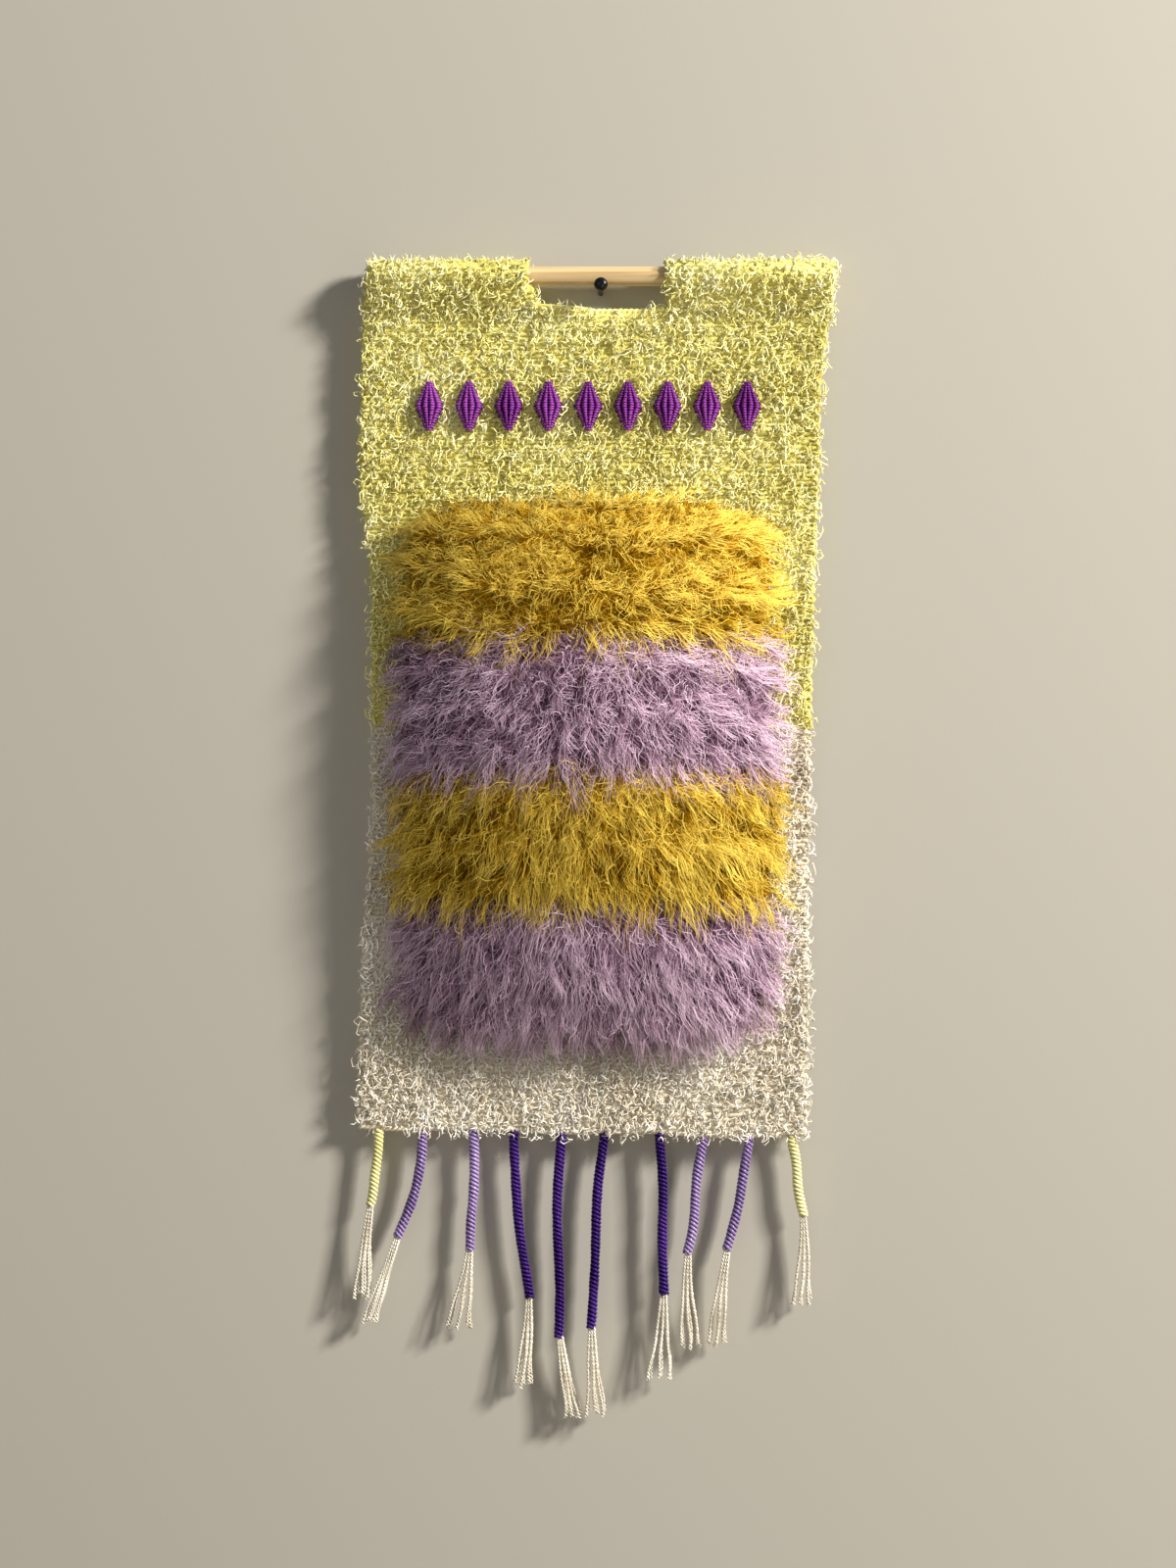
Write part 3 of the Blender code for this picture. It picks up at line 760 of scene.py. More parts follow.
# %% Scatter the curls
MUSTARD_NODES = ("pile_band_1_mustard", "pile_band_3_mustard")
LILAC_NODES = ("pile_band_2_lilac", "pile_band_4_lilac")
panel_boxes = [box_of(node) for node in MUSTARD_NODES + LILAC_NODES]
PANEL_LOW = Vector([min(box[0][axis] for box in panel_boxes) for axis in range(3)])
PANEL_HIGH = Vector([max(box[1][axis] for box in panel_boxes) for axis in range(3)])
PANEL_MIDDLE = (PANEL_LOW + PANEL_HIGH) / 2
PANEL_HALF = (PANEL_HIGH - PANEL_LOW) / 2
PANEL_PLACE = {"Panel Middle": tuple(PANEL_MIDDLE), "Panel Half": tuple(PANEL_HALF)}
FRONT_LIMIT = -0.1  # a face of the yarn whose normal has a larger y than this counts as behind
CLOTH_BACK = -10.6 * MM  # a curl that starts in front stays before this plane
WALL_FACE = -0.6 * MM  # every other curl stays before this one


def sow(graph, surface, density, seed, selection=True):
    """Random points on the faces of a surface."""
    values = {"Mesh": surface, "Selection": selection, "Density": density, "Seed": seed}
    return graph.add("GeometryNodeDistributePointsOnFaces", None, values)


def keep_before(graph, geometry, face):
    """Brings every point that lies behind a plane y = face up to that plane."""
    x, y, z = graph.parts(graph.place())
    place = graph.join(x, graph.math("MINIMUM", y, face), z)
    return graph.add("GeometryNodeSetPosition", None, {"Geometry": geometry, "Position": place})


def curl_tree():
    """Curls of loose yarn, scattered over a surface."""
    sizes = {
        "Density": 156000.0,
        "Back Share": 0.05,
        "Bare Share": 0.9,
        "Curl Radius": 2.0 * MM,
        "Narrowing": 0.6,
        "Pull": 0.9,
        "Turns": 0.85,
        "Steps": 5,
        "Smallest": 0.6,
        "Largest": 1.6,
        "Rise": 1.5 * MM,
        "Thickness": 0.8 * MM,
        "Bend": 3.4 * MM,
        "Bend Scale": 300.0,
        "Hang": 3.0 * MM,
        "Cloth Back": CLOTH_BACK,
        "Wall Face": WALL_FACE,
        "Panel Middle": (0.0, 0.0, 0.0),
        "Panel Half": (0.1, 0.1, 0.1),
        "Seed": 3,
    }
    graph, given = start_tree("loose_curls", sizes)
    place = graph.place()
    away = graph.math("ABSOLUTE", (place - given["Panel Middle"]) / given["Panel Half"])
    x, _, z = graph.parts(away)
    bare = graph.math("GREATER_THAN", graph.math("MAXIMUM", x, z), given["Bare Share"])
    facing = graph.parts(graph.add("GeometryNodeInputNormal"))[1]
    facing = graph.add("GeometryNodeFieldOnDomain", {"data_type": "FLOAT", "domain": "FACE"}, (facing,))
    at_back = graph.math("GREATER_THAN", facing, FRONT_LIMIT)
    density = given["Density"] * (bare * (1 - at_back) + at_back * given["Back Share"])
    points = sow(graph, given["Geometry"], density, given["Seed"])
    behind = graph.math("GREATER_THAN", graph.parts(points.out("Normal"))[1], FRONT_LIMIT)
    points = move(graph, points, points.out("Normal") * given["Rise"])
    points = keep(graph, points, "own", scatter(graph, "FLOAT", 0.0, 1.0, given["Seed"] + 2))
    points = keep(graph, points, "behind", behind)
    values = {
        "Resolution": given["Steps"],
        "Rotations": given["Turns"],
        "Start Radius": given["Curl Radius"],
        "End Radius": given["Curl Radius"] * given["Narrowing"],
        "Height": given["Curl Radius"] * given["Pull"],
    }
    spiral = graph.add("GeometryNodeCurveSpiral", None, values)
    turn = scatter(graph, "FLOAT_VECTOR", (0, 0, 0), (math.tau, math.tau, math.tau), given["Seed"])
    turn = graph.add("FunctionNodeEulerToRotation", None, (turn,))
    size = scatter(graph, "FLOAT", given["Smallest"], given["Largest"], given["Seed"] + 1)
    curls = plant(graph, points, spiral, turn, size)
    share = graph.add("GeometryNodeSplineParameter")
    bend = graph.jitter(place, given["Bend Scale"], 1) * given["Bend"]
    hang = graph.join(0.0, 0.0, -1.0) * (share * given["Hang"])
    bent = move(graph, curls, bend + hang)
    room = (given["Wall Face"] - given["Cloth Back"]) * graph.kept("behind")
    bent = keep_before(graph, bent, given["Cloth Back"] + room)
    thread = tube(graph, bent, 3, given["Thickness"] / 2, 1 - (share * 2 - 1) ** 4)
    return end_tree(graph, thread, given["Material"])


CURLS = curl_tree()
curl_pieces = []
for weft, material, back, seed in (
    (butter_weft, BUTTER_CURL, CLOTH_BACK, 3),
    (butter_sleeves, BUTTER_CURL, WALL_FACE, 3),
    (cream_weft, CREAM_CURL, CLOTH_BACK, 8),
):
    sizes = {**PANEL_PLACE, "Material": material, "Cloth Back": back, "Seed": seed}
    curl_pieces.append(grow(weft.name.replace("weft", "curls"), weft.data.copy(), CURLS, sizes))

# %% [markdown]
# ## Wound and twisted threads
# Several parts of the hanging are helices: the hem and the notch are edged with a cord of two
# plies, each wrapped end is a thread wound round and round, and a cotton warp strand is twisted
# from two plies. One tree serves them all. It walks along a line in small steps and moves each
# step out to one side, a little further round the line each time.


# %% Wind threads round a line
# Painted shade: the lowest part of a thread's height is painted as dark as its groove.
GROOVE_SHARE = 0.2  # what of a thread's height stays as dark as the groove beside it


def wound_tree():
    """Threads that wind round lines; the phase attribute says where each one starts."""
    sizes = {
        "Wind Radius": 1.75 * MM,
        "Pitch": 6.3 * MM,
        "Steps per Turn": 11,
        "Thickness": 1.95 * MM,
        "Sides": 5,
        "Fray": 0.0,
        "Unevenness": 0.0,
        "Uneven Scale": 110.0,
    }
    graph, given = start_tree("wound_thread", sizes)
    curves = graph.add("GeometryNodeMeshToCurve", None, (given["Geometry"],))
    values = {"Curve": curves, "Length": given["Pitch"] / given["Steps per Turn"]}
    curves = graph.add("GeometryNodeResampleCurve", {"mode": "LENGTH"}, values)
    place = graph.place()
    curves = keep(graph, curves, "axis", place, "FLOAT_VECTOR")
    way = graph.add("GeometryNodeInputTangent")
    aside = graph.math("NORMALIZE", graph.math("CROSS_PRODUCT", way, (0.0, 1.0, 0.0)))
    share = graph.add("GeometryNodeSplineParameter")
    turn = (share.out("Length") / given["Pitch"] + graph.kept("phase")) * math.tau
    uneven = graph.noise(place, given["Uneven Scale"], 2) - 0.5
    reach = given["Wind Radius"] * (share**12 * given["Fray"] + 1) + uneven * given["Unevenness"]
    depth = graph.join(0.0, graph.math("SINE", turn) * reach, 0.0)
    offset = aside * (graph.math("COSINE", turn) * reach) + depth
    curves = keep(graph, curves, "reach", reach)
    thread = tube(graph, move(graph, curves, offset), given["Sides"], given["Thickness"] / 2)
    # Painted shade: the height of each point over the thread's middle makes the colour pale on the ridges
    # and dark in the grooves.
    away = graph.math("LENGTH", place - graph.kept("axis", "FLOAT_VECTOR"))
    height = (away - graph.kept("reach")) / (given["Thickness"] / 2)
    ridge = graph.math("MAXIMUM", height, GROOVE_SHARE) - GROOVE_SHARE
    thread = keep(graph, thread, "ridge", ridge)
    return end_tree(graph, thread, given["Material"])


WOUND = wound_tree()


def wind(name, lines, plies, material, sizes):
    """Winds one or more plies round each line."""
    copies = [(line, ply / plies) for line in lines for ply in range(plies)]
    phases = [phase for line, phase in copies for _ in line]
    mesh = lines_mesh(name + "_lines", [line for line, _ in copies], {"phase": phases})
    return grow(name, mesh, WOUND, {**sizes, "Material": material})


# %% [markdown]
# The first use of it is the edging. It hides the ends of the warp, as a row of twining does on a
# real loom. The hem's line is measured from below and the notch's from above.

# %% Edge the hem and the notch
EDGING = {"Wind Radius": 0.75 * MM, "Pitch": 5.5 * MM, "Thickness": 1.7 * MM, "Sides": 5}
EDGE_LIFT = 1.1 * MM
EDGE_DEPTH = 3 * MM  # how far inside an edge the cloth's thickness is measured
HEM_RISE = 6 * MM  # where the selvedges are measured for the hem
HEM_INSET = 1.5 * MM
HEM_STEPS = 47
NOTCH_STEPS = 15
hem_left, hem_right = selvedges(HEM_LEFT_Z + HEM_RISE)
hem_line = []
for x in spread(hem_left + HEM_INSET, hem_right - HEM_INSET, HEM_STEPS):
    z = hem_z(x) + EDGE_LIFT
    hem_line.append(Vector((x, middle_y(x, z + EDGE_DEPTH), z)))
notch_line = []
notch_ends = [strike((0, DOWEL_MIDDLE.y, NOTCH_Z + MM), (side, 0, 0)).x for side in (-1, 1)]
for x in spread(*notch_ends, NOTCH_STEPS):
    notch_line.append(Vector((x, middle_y(x, NOTCH_Z - EDGE_DEPTH), NOTCH_Z - EDGE_LIFT)))
hem_edging = wind("edging_hem", [hem_line], 2, CREAM_CURL, EDGING)
notch_edging = wind("edging_notch", [notch_line], 2, BUTTER_CURL, EDGING)


def finish_piece(piece, replaced=()):
    """Makes a piece ride on the root body and hides the solids it stands for."""
    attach(piece, "root")
    if replaced:
        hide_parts(*replaced)


finish_piece(cloth_body, ["ground_weave"])
cloth_pieces = [butter_weft, butter_sleeves, cream_weft, *curl_pieces, hem_edging, notch_edging]
for piece in cloth_pieces:
    finish_piece(piece)

# %% [markdown]
# ## The pile
# The panel is long mohair, knotted into the ground and brushed out. Its fibres stand off the
# cloth, then fall, and cling together in locks with dark partings between them. Fibres all the
# way down would be wasted, for only the outer part is ever seen. So each band has a solid core:
# the frame's own form, drawn in to a bit over half its depth, and painted darker than the pile, a
# painted shade deep among the fibres. The strands grow from that.

# %% Make the cores of the bands
CORE_SHARE = 0.63
CORE_DOME = 0.5  # how much more the core slopes to the sides than the solid does
CORE_INSET = 0.92
CORE_RISE = 2 * MM
FOOT_DEPTH = 0.6 * MM  # the foot of a core stays where the solid's is


def pile_core(node, material):
    """The band's solid, drawn in towards the cloth and towards the panel's middle."""
    shape = solid_copy(node)
    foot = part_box(node)[1][1] - FOOT_DEPTH
    for vert in shape.verts:
        x, y, z = vert.co
        if y < foot:
            across = (x - PANEL_MIDDLE.x) / PANEL_HALF.x
            along = (z - PANEL_MIDDLE.z) / PANEL_HALF.z
            slope = (1 - CORE_DOME * across**2) * (1 - CORE_DOME / 2 * along**2)
            y = foot + (y - foot) * CORE_SHARE * slope
        x = PANEL_MIDDLE.x + (x - PANEL_MIDDLE.x) * CORE_INSET
        z = PANEL_MIDDLE.z + (z - PANEL_MIDDLE.z) * CORE_INSET + CORE_RISE
        vert.co = (x, y, z)
    return shape_to_piece(node.replace("pile", "core"), shape, [material])


# %% [markdown]
# A strand's way is a sum of pulls: off the surface, outwards from the panel's middle, down, and a
# little at random. Locks come from a Voronoi pattern. It gives each root the middle of its cell,
# and the strand's tip is drawn towards the middle of that lock and tossed the way the lock goes.
#
# Brushed pile also lies in tiers, each overhanging the next. The tree cuts the height into steps
# with a wavy edge, and lets the strands grow longer and stand off further towards the foot of a
# step. Just below it they are short again, which opens the dark parting, and their colour is
# painted darker there, a painted shade in the parting. Last, the normals of the strands lean half
# towards those of a dome over the panel, so that the pile is lit as one soft mass and not as wires.


# %% Grow the strands
GROWING_LIMIT = -0.08  # strands grow where the surface faces further forward than this
UPWARD_LIMIT = 0.1  # how far up a strand may start
TIER_WAVE = (16.0, 16.0, 24.0)
TIER_WAVE_HEIGHT = 2.0
TIER_LIFT, LEAST_LIFT = 1.4, 0.2
TIER_REACH, LOCK_REACH, LEAST_REACH = 0.9, 0.35, 0.15
OWN_REACH, OWN_LEAST = 0.25, 0.87
RIM_CALM = 0.8  # how much less strands fall and toss at the rim
RIM_TRIM = 0.4  # how much shorter they are there
# Painted light in the lock colour: a painted halo that makes the rim paler, a painted shade in the tier
# partings, and each lock's own random tone.
RIM_PAINTED_HALO, TIER_PAINTED_SHADE, LOCK_SHADE = 0.6, 0.65, 0.35
SWIRL_TURNS, SWIRL_HEIGHT = 0.9, 0.6
DOME_UPWARD = 0.5


def strand_tree():
    """Long soft strands that grow out of a surface and cling in locks."""
    sizes = {
        "Density": 375000.0,
        "Steps": 4,
        "Start Off": 0.0,
        "Length": 20 * MM,
        "Thickness": 0.42 * MM,
        "Lift": 0.65,
        "Outwards": 1.15,
        "Fall": 0.7,
        "Toss": 1.1,
        "Stray": 0.25,
        "Tier Height": 22 * MM,
        "Lock Size": 5.5 * MM,
        "Cling": 0.7,
        "Droop": 6 * MM,
        "Swirl": 3 * MM,
        "Frizz": 4 * MM,
        "Frizz Scale": 160.0,
        "Softness": 0.5,
        "Dome": 1.1,
        "Painted Highlight": 0.0,
        "Cloth Face": -12.9 * MM,
        "Panel Middle": (0.0, 0.0, 0.0),
        "Panel Half": (0.1, 0.1, 0.1),
        "Seed": 1,
    }
    graph, given = start_tree("pile_strands", sizes)
    facing = graph.parts(graph.add("GeometryNodeInputNormal"))[1]
    in_front = graph.math("LESS_THAN", facing, GROWING_LIMIT)
    points = sow(graph, given["Geometry"], given["Density"], given["Seed"], in_front)
    aside, ahead, upward = graph.parts(points.out("Normal"))
    normal = graph.join(aside, ahead, graph.math("MINIMUM", upward, UPWARD_LIMIT))
    place = graph.place()
    away_x, _, away_z = graph.parts((place - given["Panel Middle"]) / given["Panel Half"])

    values = {"Vector": place / given["Lock Size"], "Scale": 1.0}
    lock = graph.add("ShaderNodeTexVoronoi", None, values, "Position")
    chance = lock.out("Color")
    wander = graph.noise(place * TIER_WAVE, 1.0, 2) * TIER_WAVE_HEIGHT
    tier = graph.math("FRACT", wander - graph.parts(place)[2] / given["Tier Height"])
    own = scatter(graph, "FLOAT", 0.0, 1.0, given["Seed"] + 5)
    rim = graph.math("MAXIMUM", graph.math("ABSOLUTE", away_x), graph.math("ABSOLUTE", away_z)) ** 6
    inner = 1 - rim * RIM_CALM
    below = graph.join(0.0, 0.0, -1.0)
    way = (
        normal * (given["Lift"] * (tier * TIER_LIFT + LEAST_LIFT))
        + graph.join(away_x, 0.0, away_z) * given["Outwards"]
        + below * (given["Fall"] * inner)
        + (chance - (0.5, 0.5, 0.5)) * (given["Toss"] * inner)
        + scatter(graph, "FLOAT_VECTOR", (-1, -1, -1), (1, 1, 1), given["Seed"]) * given["Stray"]
    )
    reach = tier * TIER_REACH + graph.parts(chance)[2] * LOCK_REACH + LEAST_REACH
    length = given["Length"] * reach * (own * OWN_REACH + OWN_LEAST) * (1 - rim * RIM_TRIM)
    points = keep(graph, points, "root", place, "FLOAT_VECTOR")
    points = keep(graph, points, "middle", lock * given["Lock Size"], "FLOAT_VECTOR")
    points = keep(graph, points, "chance", chance, "FLOAT_VECTOR")
    points = keep(graph, points, "own", own)
    # The lock's colour: each lock's random tone, a painted shade that darkens strands near the top of
    # each tier under the overhang, and a painted halo that makes the rim paler.
    shade = graph.parts(chance)[0] * LOCK_SHADE + tier * TIER_PAINTED_SHADE
    shade = shade * inner + rim * RIM_PAINTED_HALO
    # Painted highlight: this raises the whole lock colour of a run, so frizz and wisps are painted paler.
    points = keep(graph, points, "lock", shade + given["Painted Highlight"])
    start = normal * (given["Start Off"] * scatter(graph, "FLOAT", 0.3, 1.0, given["Seed"] + 9))
    points = move(graph, points, start)

    line = graph.add("GeometryNodeCurvePrimitiveLine", None, {"Start": (0, 0, 0), "End": (0, 0, 1)})
    values = {"Curve": line, "Count": given["Steps"]}
    line = graph.add("GeometryNodeResampleCurve", {"mode": "COUNT"}, values)
    turn = graph.add("FunctionNodeAlignRotationToVector", {"axis": "Z"}, {"Vector": way})
    strands = plant(graph, points, line, turn, length)

    root, middle, chance = (graph.kept(label, "FLOAT_VECTOR") for label in ("root", "middle", "chance"))
    along = graph.add("GeometryNodeSplineParameter")
    cling = (middle - root) * (along * given["Cling"])
    droop = below * (along * along * given["Droop"])
    turn = (along * SWIRL_TURNS + graph.parts(chance)[1]) * math.tau
    sine = graph.math("SINE", turn)
    circle = graph.join(graph.math("COSINE", turn), sine * SWIRL_HEIGHT, sine)
    swirl = circle * (along * given["Swirl"])
    frizz = graph.jitter(place, given["Frizz Scale"], 1) * (along * given["Frizz"])
    bent = move(graph, strands, cling + droop + swirl + frizz)
    bent = keep_before(graph, bent, given["Cloth Face"])
    # Painted shade: this share along the strand makes the pile darker towards its roots, where the inside
    # of the pile is in shade, and paler at the tips.
    bent = keep(graph, bent, "along", along)
    strand = tube(graph, bent, 3, given["Thickness"] / 2, (1 - along**3) * (1 - (1 - along) ** 12))
    dome = graph.join(away_x * given["Dome"], -1.0, away_z * given["Dome"] * DOME_UPWARD)
    dome = graph.math("NORMALIZE", dome)
    own_normal = graph.add("GeometryNodeInputNormal")
    lit = graph.math("NORMALIZE", own_normal * (1 - given["Softness"]) + dome * given["Softness"])
    settings = {"mode": "FREE", "domain": "POINT"}
    strand = graph.add("GeometryNodeSetMeshNormal", settings, {"Mesh": strand, "Custom Normal": lit})
    return end_tree(graph, strand, given["Material"])


# %% [markdown]
# The same tree runs three times on each band. The first run gives the locks. The second gives
# short frizz that starts a little way up among them and goes every way, as the ends of mohair do,
# painted a little paler as a painted highlight. The third gives a few wisps that curl over the
# rest, painted pale all along as a painted highlight where they catch the light.

# %% Dress the bands
STRANDS = strand_tree()
FRIZZ = {
    "Density": 290000.0,
    "Steps": 3,
    "Start Off": 9 * MM,
    "Length": 10 * MM,
    "Thickness": 0.3 * MM,
    "Stray": 1.2,
    "Cling": 0.1,
    "Toss": 0.4,
    "Droop": 1 * MM,
    "Frizz": 9 * MM,
    "Painted Highlight": 0.25,
}
WISPS = {
    "Density": 40000.0,
    "Steps": 5,
    "Start Off": 10 * MM,
    "Length": 13 * MM,
    "Thickness": 0.38 * MM,
    "Stray": 0.8,
    "Cling": 0.4,
    "Toss": 0.8,
    "Droop": 4 * MM,
    "Swirl": 3 * MM,
    "Frizz": 7 * MM,
    "Painted Highlight": 0.9,
}
RUNS = (("strands", {}, 11), ("frizz", FRIZZ, 51), ("wisps", WISPS, 91))  # kind, changes and seed
for node in sorted(MUSTARD_NODES + LILAC_NODES):
    number = int(node.split("_")[2])
    mustard = node in MUSTARD_NODES
    pile = MUSTARD_PILE if mustard else LILAC_PILE
    core = pile_core(node, MUSTARD_SHADED_ROOTS if mustard else LILAC_SHADED_ROOTS)
    finish_piece(core)
    for kind, changes, seed in RUNS:
        sizes = {**PANEL_PLACE, **changes, "Material": pile, "Seed": seed + number}
        piece = grow(node.replace("pile_band", kind), core.data.copy(), STRANDS, sizes)
        finish_piece(piece, [node] if kind == "strands" else [])

# %% [markdown]
# ## Needle-woven lozenges
# Each lozenge is woven with a needle and a glossy thread over four stitched ribs. The thread runs
# to and fro like the weft of the ground, so the same tree makes it: only the lines are new. They
# are measured on the lozenge's solid. The beat counts ribs here, and there are always four of
# them, so the ribs draw together towards the tips. A core closes the chinks, painted dark as a
# painted shade between the threads.

# %% Weave the lozenges
LOZENGE_NODES = sorted(name for name in NODES if name.startswith("lozenge_"))
THREAD_PITCH = 1.25 * MM
RIBS = 4
STEPS_PER_RIB = 4
RIB_RELIEF = 0.75 * MM
FOOT_HEIGHT = 1.2 * MM  # where the width of a lozenge is measured
SIDE_INSET = 0.5 * MM
FACE_INSET = 0.6 * MM
SIDE_TUCK = 1.6 * MM  # how far the rows turn back at the sides
LOZENGE_CORE_DEPTH = 0.7 * MM


def lozenge_line(node):
    """The way of one thread over a lozenge, from its foot to its top."""
    solid = BVHTree.FromBMesh(solid_copy(node))
    low, high = box_of(node)
    foot = high.y - FOOT_HEIGHT
    count = round((high.z - low.z) / THREAD_PITCH)
    rows = []
    for number in range(count):
        z = low.z + (high.z - low.z) * (number + 0.5) / count
        left = strike((low.x - MM, foot, z), (1, 0, 0), solid).x + SIDE_INSET
        right = strike((high.x + MM, foot, z), (-1, 0, 0), solid).x - SIDE_INSET
        row = []
        for share in spread(0, 1, RIBS * STEPS_PER_RIB):
            x = left + (right - left) * share
            y = strike((x, -FAR, z), (0, 1, 0), solid).y
            y += FACE_INSET + SIDE_TUCK * abs(2 * share - 1) ** 6
            y += RIB_RELIEF * math.cos(math.tau * share * RIBS)
            row.append((Vector((x, y, z)), FRONT, share * RIBS - 0.5 + number))
        rows.append(row)
    return to_and_fro(rows)


# Painted light: the lozenge thread is painted pale on its ridges and dark in the hollows between the
# ribs.
SATIN_AND_PAINTED_RIDGES = {"sheen": 0.1, "gloss": 1.0, "rough": 0.4, "weights": {"ridge": 0.7}}
PURPLE_THREAD = yarn("purple_thread", (34, 2, 46), (84, 20, 98), (156, 76, 168), **SATIN_AND_PAINTED_RIDGES)
# Painted shade: the core is painted darker than the thread, as the shade between the threads.
PURPLE_SHADE_CORE = yarn("purple_core", (40, 6, 48), (66, 16, 76), (96, 36, 106))
lozenge_lines = [lozenge_line(node) for node in LOZENGE_NODES]
fine = {"Swing": 0.28 * MM, "Thickness": 1.3 * MM, "Unevenness": 0.3, "Wander": 0.25 * MM, "Sides": 5}
lozenge_mesh = weave_mesh("lozenge_lines", lozenge_lines)
lozenge_threads = grow("lozenge_threads", lozenge_mesh, WEFT, {**fine, "Material": PURPLE_THREAD})
lozenge_cores = drawn_in("lozenge_cores", LOZENGE_NODES, LOZENGE_CORE_DEPTH, [PURPLE_SHADE_CORE])
finish_piece(lozenge_threads, LOZENGE_NODES)
finish_piece(lozenge_cores)

# %% [markdown]
# ## The fringe
# The ends of the warp hang from the hem in ten bundles. Each is wound closely with yarn and
# leaves six bare cotton strands below. The table says which way each bundle goes, because its
# bends are its own. The heights and the distance from the wall are the frame's.

# %% Lay out the fringe
FRINGE = (
    # yarn, place at the hem, bow, place of the wrapping's end, place, spread and height of the tips
    ("butter", -113.5, 0, -118, -122, 7, -514),
    ("lilac", -91.5, 1, -103.5, -118.5, 6, -527),
    ("lilac", -65, 0.5, -67, -73, 11, -530),
    ("violet", -44.5, 0, -36.5, -40, 7, -560),
    ("violet", -20, -2, -21, -14, 6, -576),
    ("violet", 2, -3, -5, -2.5, 8, -574),
    ("violet", 30, 1.5, 32, 30, 11, -556),
    ("lilac", 52.5, -2, 44.5, 46, 9, -540),
    ("lilac", 76, -1.5, 64.5, 59, 8, -539),
    ("butter", 97.5, 1.5, 103.5, 102.5, 8, -518),
)
WRAP_EASE = 1.8  # how late a wrapped end bends away from the plumb line
BOW_SKEW = 0.7  # a bow is widest this side of the middle
WRAP_WAVE = 0.4
WRAP_STEPS = 24
WRAP_START = 0.8 * MM  # how far above its solid a winding begins, inside the hem
STRAND_STEPS = 14
STRAND_PITCH = 0.95 * MM
STRAND_WAVE = 0.5 * MM
TIP_DEPTH = 3.2 * MM  # how far apart the front and back tips of a bundle are
TIP_LIFT = 1.5
BEND = 0.5  # how far a strand goes on in its bundle's direction before it turns to its tip
SPLAY = 1.15


def wrap_line(number):
    """Middle line of a wrapped end, from inside the hem to the end of its wrapping."""
    _, hem_x, bow, end_x, *_ = FRINGE[number]
    low, high = box_of(f"wrap_{number + 1}")
    y = (low.y + high.y) / 2
    line = []
    for t in spread(0, 1, WRAP_STEPS):
        sway = bow * math.sin(math.pi * t**BOW_SKEW) ** 2
        sway += WRAP_WAVE * math.sin(9 * t + 2 * number) * t
        x = hem_x + (end_x - hem_x) * t**WRAP_EASE + sway
        line.append(Vector((x * MM, y, high.z + WRAP_START + (low.z - high.z) * t)))
    return line


def strand_lines(number):
    """The six bare strands of a bundle, from inside its wrapping to their tips."""
    *_, tip_x, tip_spread, tip_z = FRINGE[number]
    bundle = wrap_line(number)
    way = (bundle[-1] - bundle[-2]).normalized()
    aside = Vector((-way.z, 0, way.x))
    lines = []
    for i in (-1, 0, 1):
        for j in (-0.5, 0.5):
            start = bundle[-2] + (aside * i + Vector((0, j, 0))) * STRAND_PITCH
            lift = TIP_LIFT * math.sin(5 * (number + 1) + 3 * (i + 1) + 2 * (j + 0.5))
            tip_y = start.y + j * TIP_DEPTH
            tip = Vector(((tip_x + i * tip_spread / 2 + j) * MM, tip_y, (tip_z + lift) * MM))
            reach = (tip - start).length
            line = []
            for t in spread(0, 1, STRAND_STEPS):
                bend = way * reach * t * (1 - t) ** 2 * BEND
                wave = STRAND_WAVE * math.sin(9 * t + number + 2 * i + j) * t
                line.append(start + (tip - start) * (1 - (1 - t) ** SPLAY) + bend + aside * wave)
            lines.append(line)
    return lines


# %% [markdown]
# Wound thread is glossy and tightly packed, painted pale on its ridges and dark in the grooves, a
# painted highlight and a painted shade. Under each winding lies a dark core, a painted shade
# between the turns, so that no light falls through between them. The bare cotton is duller, with
# a weaker painted shade between its plies, and its plies open at the tips.

# %% Wind the bundles and hang the strands
THREADS = {
    "butter": ((168, 154, 70), (226, 216, 136), (255, 252, 206)),
    "lilac": ((48, 32, 68), (102, 78, 130), (184, 160, 208)),
    "violet": ((4, 0, 20), (20, 3, 54), (84, 50, 138)),
}
# Painted light: wound thread is painted pale on its ridges and dark in its grooves.
WAXED_AND_PAINTED_RIDGES = {"sheen": 0.1, "gloss": 1.0, "rough": 0.34, "weights": {"ridge": 1.15}}
CORE_DEPTH = 0.8 * MM
for colour, shades in THREADS.items():
    numbers = [k for k, row in enumerate(FRINGE) if row[0] == colour]
    nodes = [f"wrap_{k + 1}" for k in numbers]
    thread = yarn(colour + "_thread", *shades, **WAXED_AND_PAINTED_RIDGES)
    winding = wind("winding_" + colour, [wrap_line(k) for k in numbers], 3, thread, {"Unevenness": MM})
    # Painted shade: the core has no groove value of its own, so it takes the deep end of its thread's
    # colour and shows dark between the turns.
    core = drawn_in("winding_core_" + colour, nodes, CORE_DEPTH, [thread])
    finish_piece(winding, nodes)
    finish_piece(core)

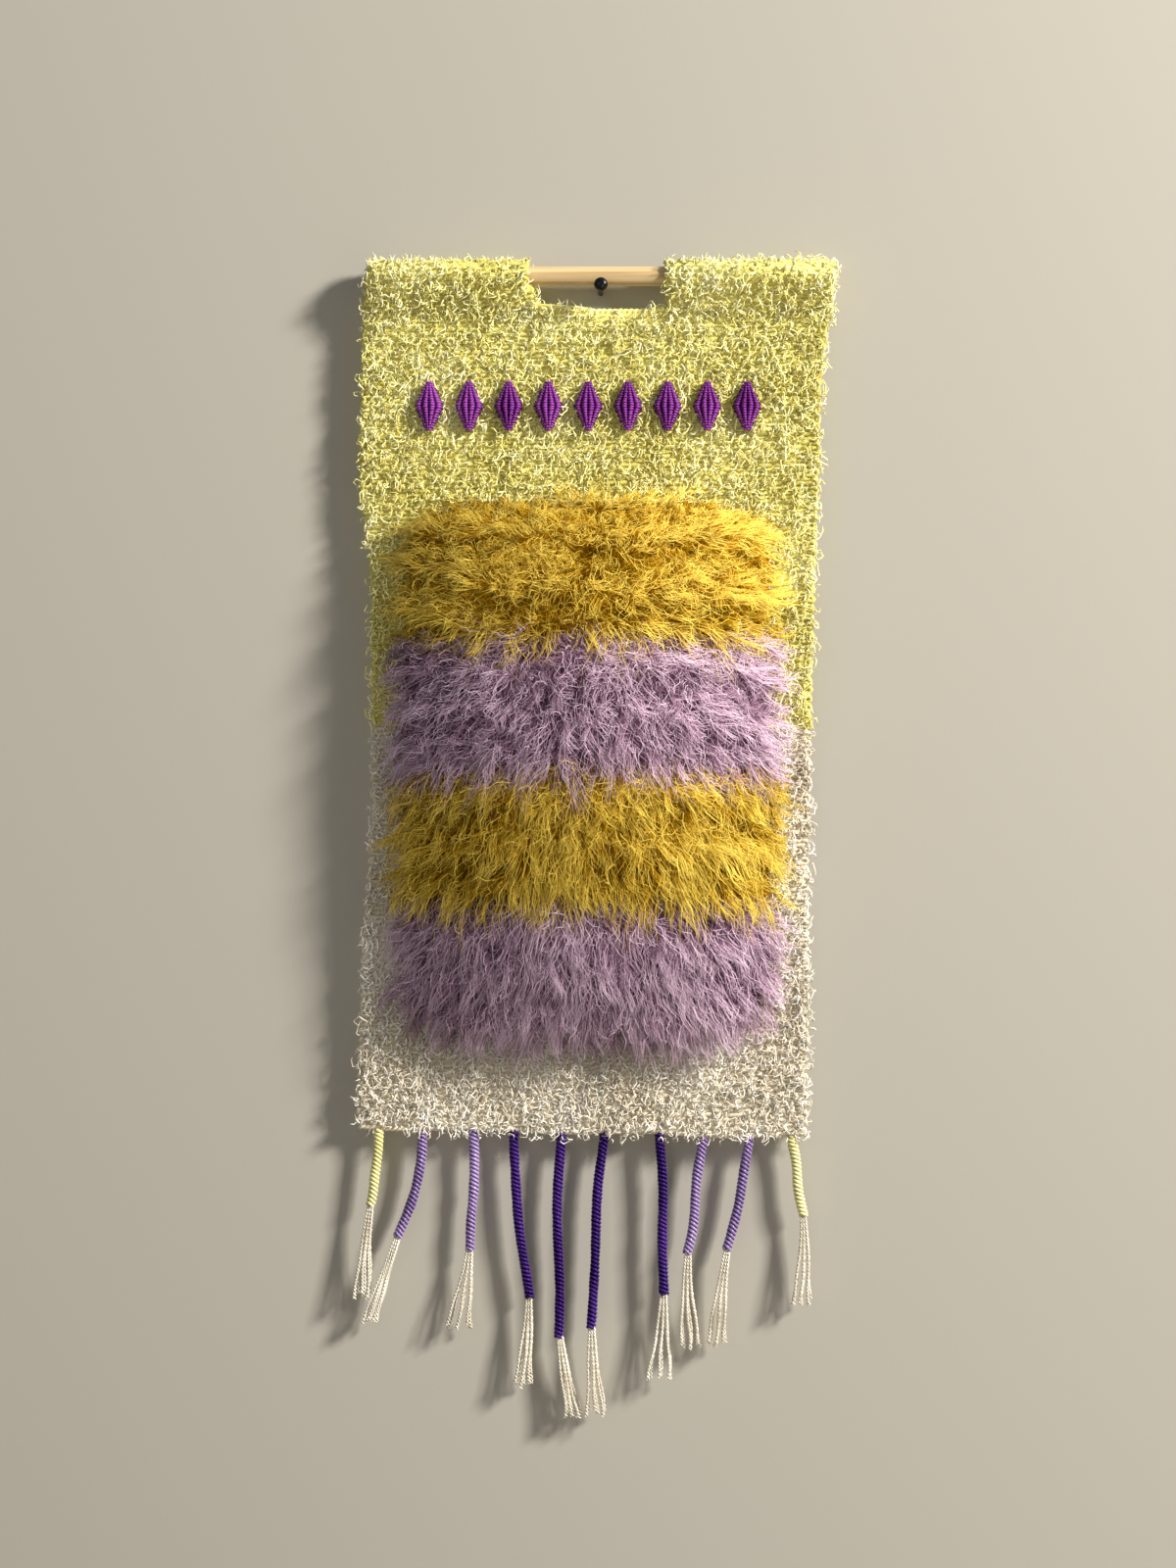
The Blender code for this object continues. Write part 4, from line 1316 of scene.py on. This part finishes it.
# Painted shade: cotton is painted a little darker in the grooves between its plies.
TWISTED_AND_PAINTED_RIDGES = {"rough": 0.85, "weights": {"ridge": 0.5}}
COTTON = yarn("cotton_warp", (178, 164, 138), (228, 219, 200), (252, 249, 240), **TWISTED_AND_PAINTED_RIDGES)
TWIST = {
    "Wind Radius": 0.4 * MM,
    "Pitch": 3.6 * MM,
    "Steps per Turn": 4,
    "Thickness": 0.95 * MM,
    "Sides": 3,
    "Fray": 1.2,
}
cotton_lines = [line for number in range(len(FRINGE)) for line in strand_lines(number)]
cotton = wind("cotton_strands", cotton_lines, 2, COTTON, TWIST)
finish_piece(cotton, [f"tassel_{k + 1}" for k in range(len(FRINGE))])

# %% [markdown]
# ## Dowel and nail
# Both are turned forms: a line that is spun round an axis. The dowel is pale pine with a grain
# that runs along it, so its noise is stretched along X. The nail is black and glossy, with a
# domed head.


# %% Turn the dowel and the nail
TURNED_SIDES = 48
CREASE_ANGLE = math.radians(40)


def turned(name, profile, middle, ways, material):
    """A closed round form; each pair of the profile is a radius and a reach along the axis."""
    along, first, second = (Vector(way) for way in ways)
    shape = bmesh.new()
    rings = []
    for radius, reach in profile:
        ring = []
        for k in range(TURNED_SIDES):
            turn = math.tau * k / TURNED_SIDES
            around = first * math.cos(turn) + second * math.sin(turn)
            ring.append(shape.verts.new(middle + along * reach + around * radius))
        rings.append(ring)
    for ring, after in zip(rings, rings[1:]):
        for k in range(TURNED_SIDES):
            shape.faces.new((ring[k - 1], ring[k], after[k], after[k - 1]))
    shape.faces.new(rings[0])
    shape.faces.new(rings[-1])
    bmesh.ops.recalc_face_normals(shape, faces=shape.faces)
    made = shape_to_piece(name, shape, [material])
    made.data.set_sharp_from_angle(angle=CREASE_ANGLE)
    return made


GRAIN_STRETCH = (9.0, 420.0, 420.0)
YEAR_STRETCH = (3.0, 110.0, 110.0)
SURFACE_RELIEF = 0.1 * MM


def pine():
    """Pale pine with its grain along X."""
    material, graph, shader = new_material("pine", {"Specular IOR Level": 0.35})
    place = graph.add("ShaderNodeTexCoord", None, (), "Object")
    grain = graph.noise(place * GRAIN_STRETCH, 1.0, 4)
    years = graph.noise(place * YEAR_STRETCH, 1.0, 1)
    stops = [(0.3, srgb(152, 116, 70)), (0.5, srgb(206, 178, 130)), (0.7, srgb(232, 212, 170))]
    colour = graph.ramp(grain * 0.5 + years * 0.5, stops)
    dress(graph, shader, colour, 0.72 - grain * 0.25, 0.3, SURFACE_RELIEF, grain)
    return material


def black_steel():
    """Black japanned steel, a little worn."""
    material, graph, shader = new_material("nail_steel", {"Coat Roughness": 0.15})
    place = graph.add("ShaderNodeTexCoord", None, (), "Object")
    wear = graph.noise(place, 900, 3)
    stops = [(0.35, srgb(14, 12, 13)), (0.62, srgb(34, 30, 30)), (0.75, srgb(92, 78, 70))]
    dress(graph, shader, graph.ramp(wear, stops), wear * 0.4 + 0.12, 0.2, SURFACE_RELIEF, wear)
    graph.feed(shader.inputs["Metallic"], 0.9 - wear * 0.5)
    return material


EASED_EDGE = 0.5 * MM
half_length = (dowel_high.x - dowel_low.x) / 2
dowel_profile = [
    (DOWEL_RADIUS - EASED_EDGE, -half_length),
    (DOWEL_RADIUS, EASED_EDGE - half_length),
    (DOWEL_RADIUS, half_length - EASED_EDGE),
    (DOWEL_RADIUS - EASED_EDGE, half_length),
]
dowel = turned("pine_dowel", dowel_profile, DOWEL_MIDDLE, ((1, 0, 0), (0, 1, 0), (0, 0, 1)), pine())
finish_piece(dowel, ["dowel"])

nail_low, nail_high = box_of("nail")
HEAD_RADIUS = nail_high.z
HEAD_HEIGHT = 2.6 * MM
HEAD_RIM = 0.15 * MM
UNDER_HEAD = 0.93  # radius of the head's flat underside, to that of its rim
SHANK_RADIUS = 1.5 * MM
NAIL_REACH = -nail_low.y - HEAD_HEIGHT
DOME_STEPS = 10
DOME_ANGLE = math.radians(86)
nail_profile = [(SHANK_RADIUS, 0), (SHANK_RADIUS, NAIL_REACH), (HEAD_RADIUS * UNDER_HEAD, NAIL_REACH)]
for rise in spread(0, DOME_ANGLE, DOME_STEPS):
    dome_z = NAIL_REACH + HEAD_RIM + (HEAD_HEIGHT - HEAD_RIM) * math.sin(rise)
    nail_profile.append((HEAD_RADIUS * math.cos(rise), dome_z))
nail_ways = ((0, -1, 0), (1, 0, 0), (0, 0, 1))
nail = turned("round_nail", nail_profile, Vector((0, 0, 0)), nail_ways, black_steel())
finish_piece(nail, ["nail"])

# %% Count the triangles and finish
print("triangles in all:", sum(TALLY.values()), "the largest piece:", max(TALLY.values()))
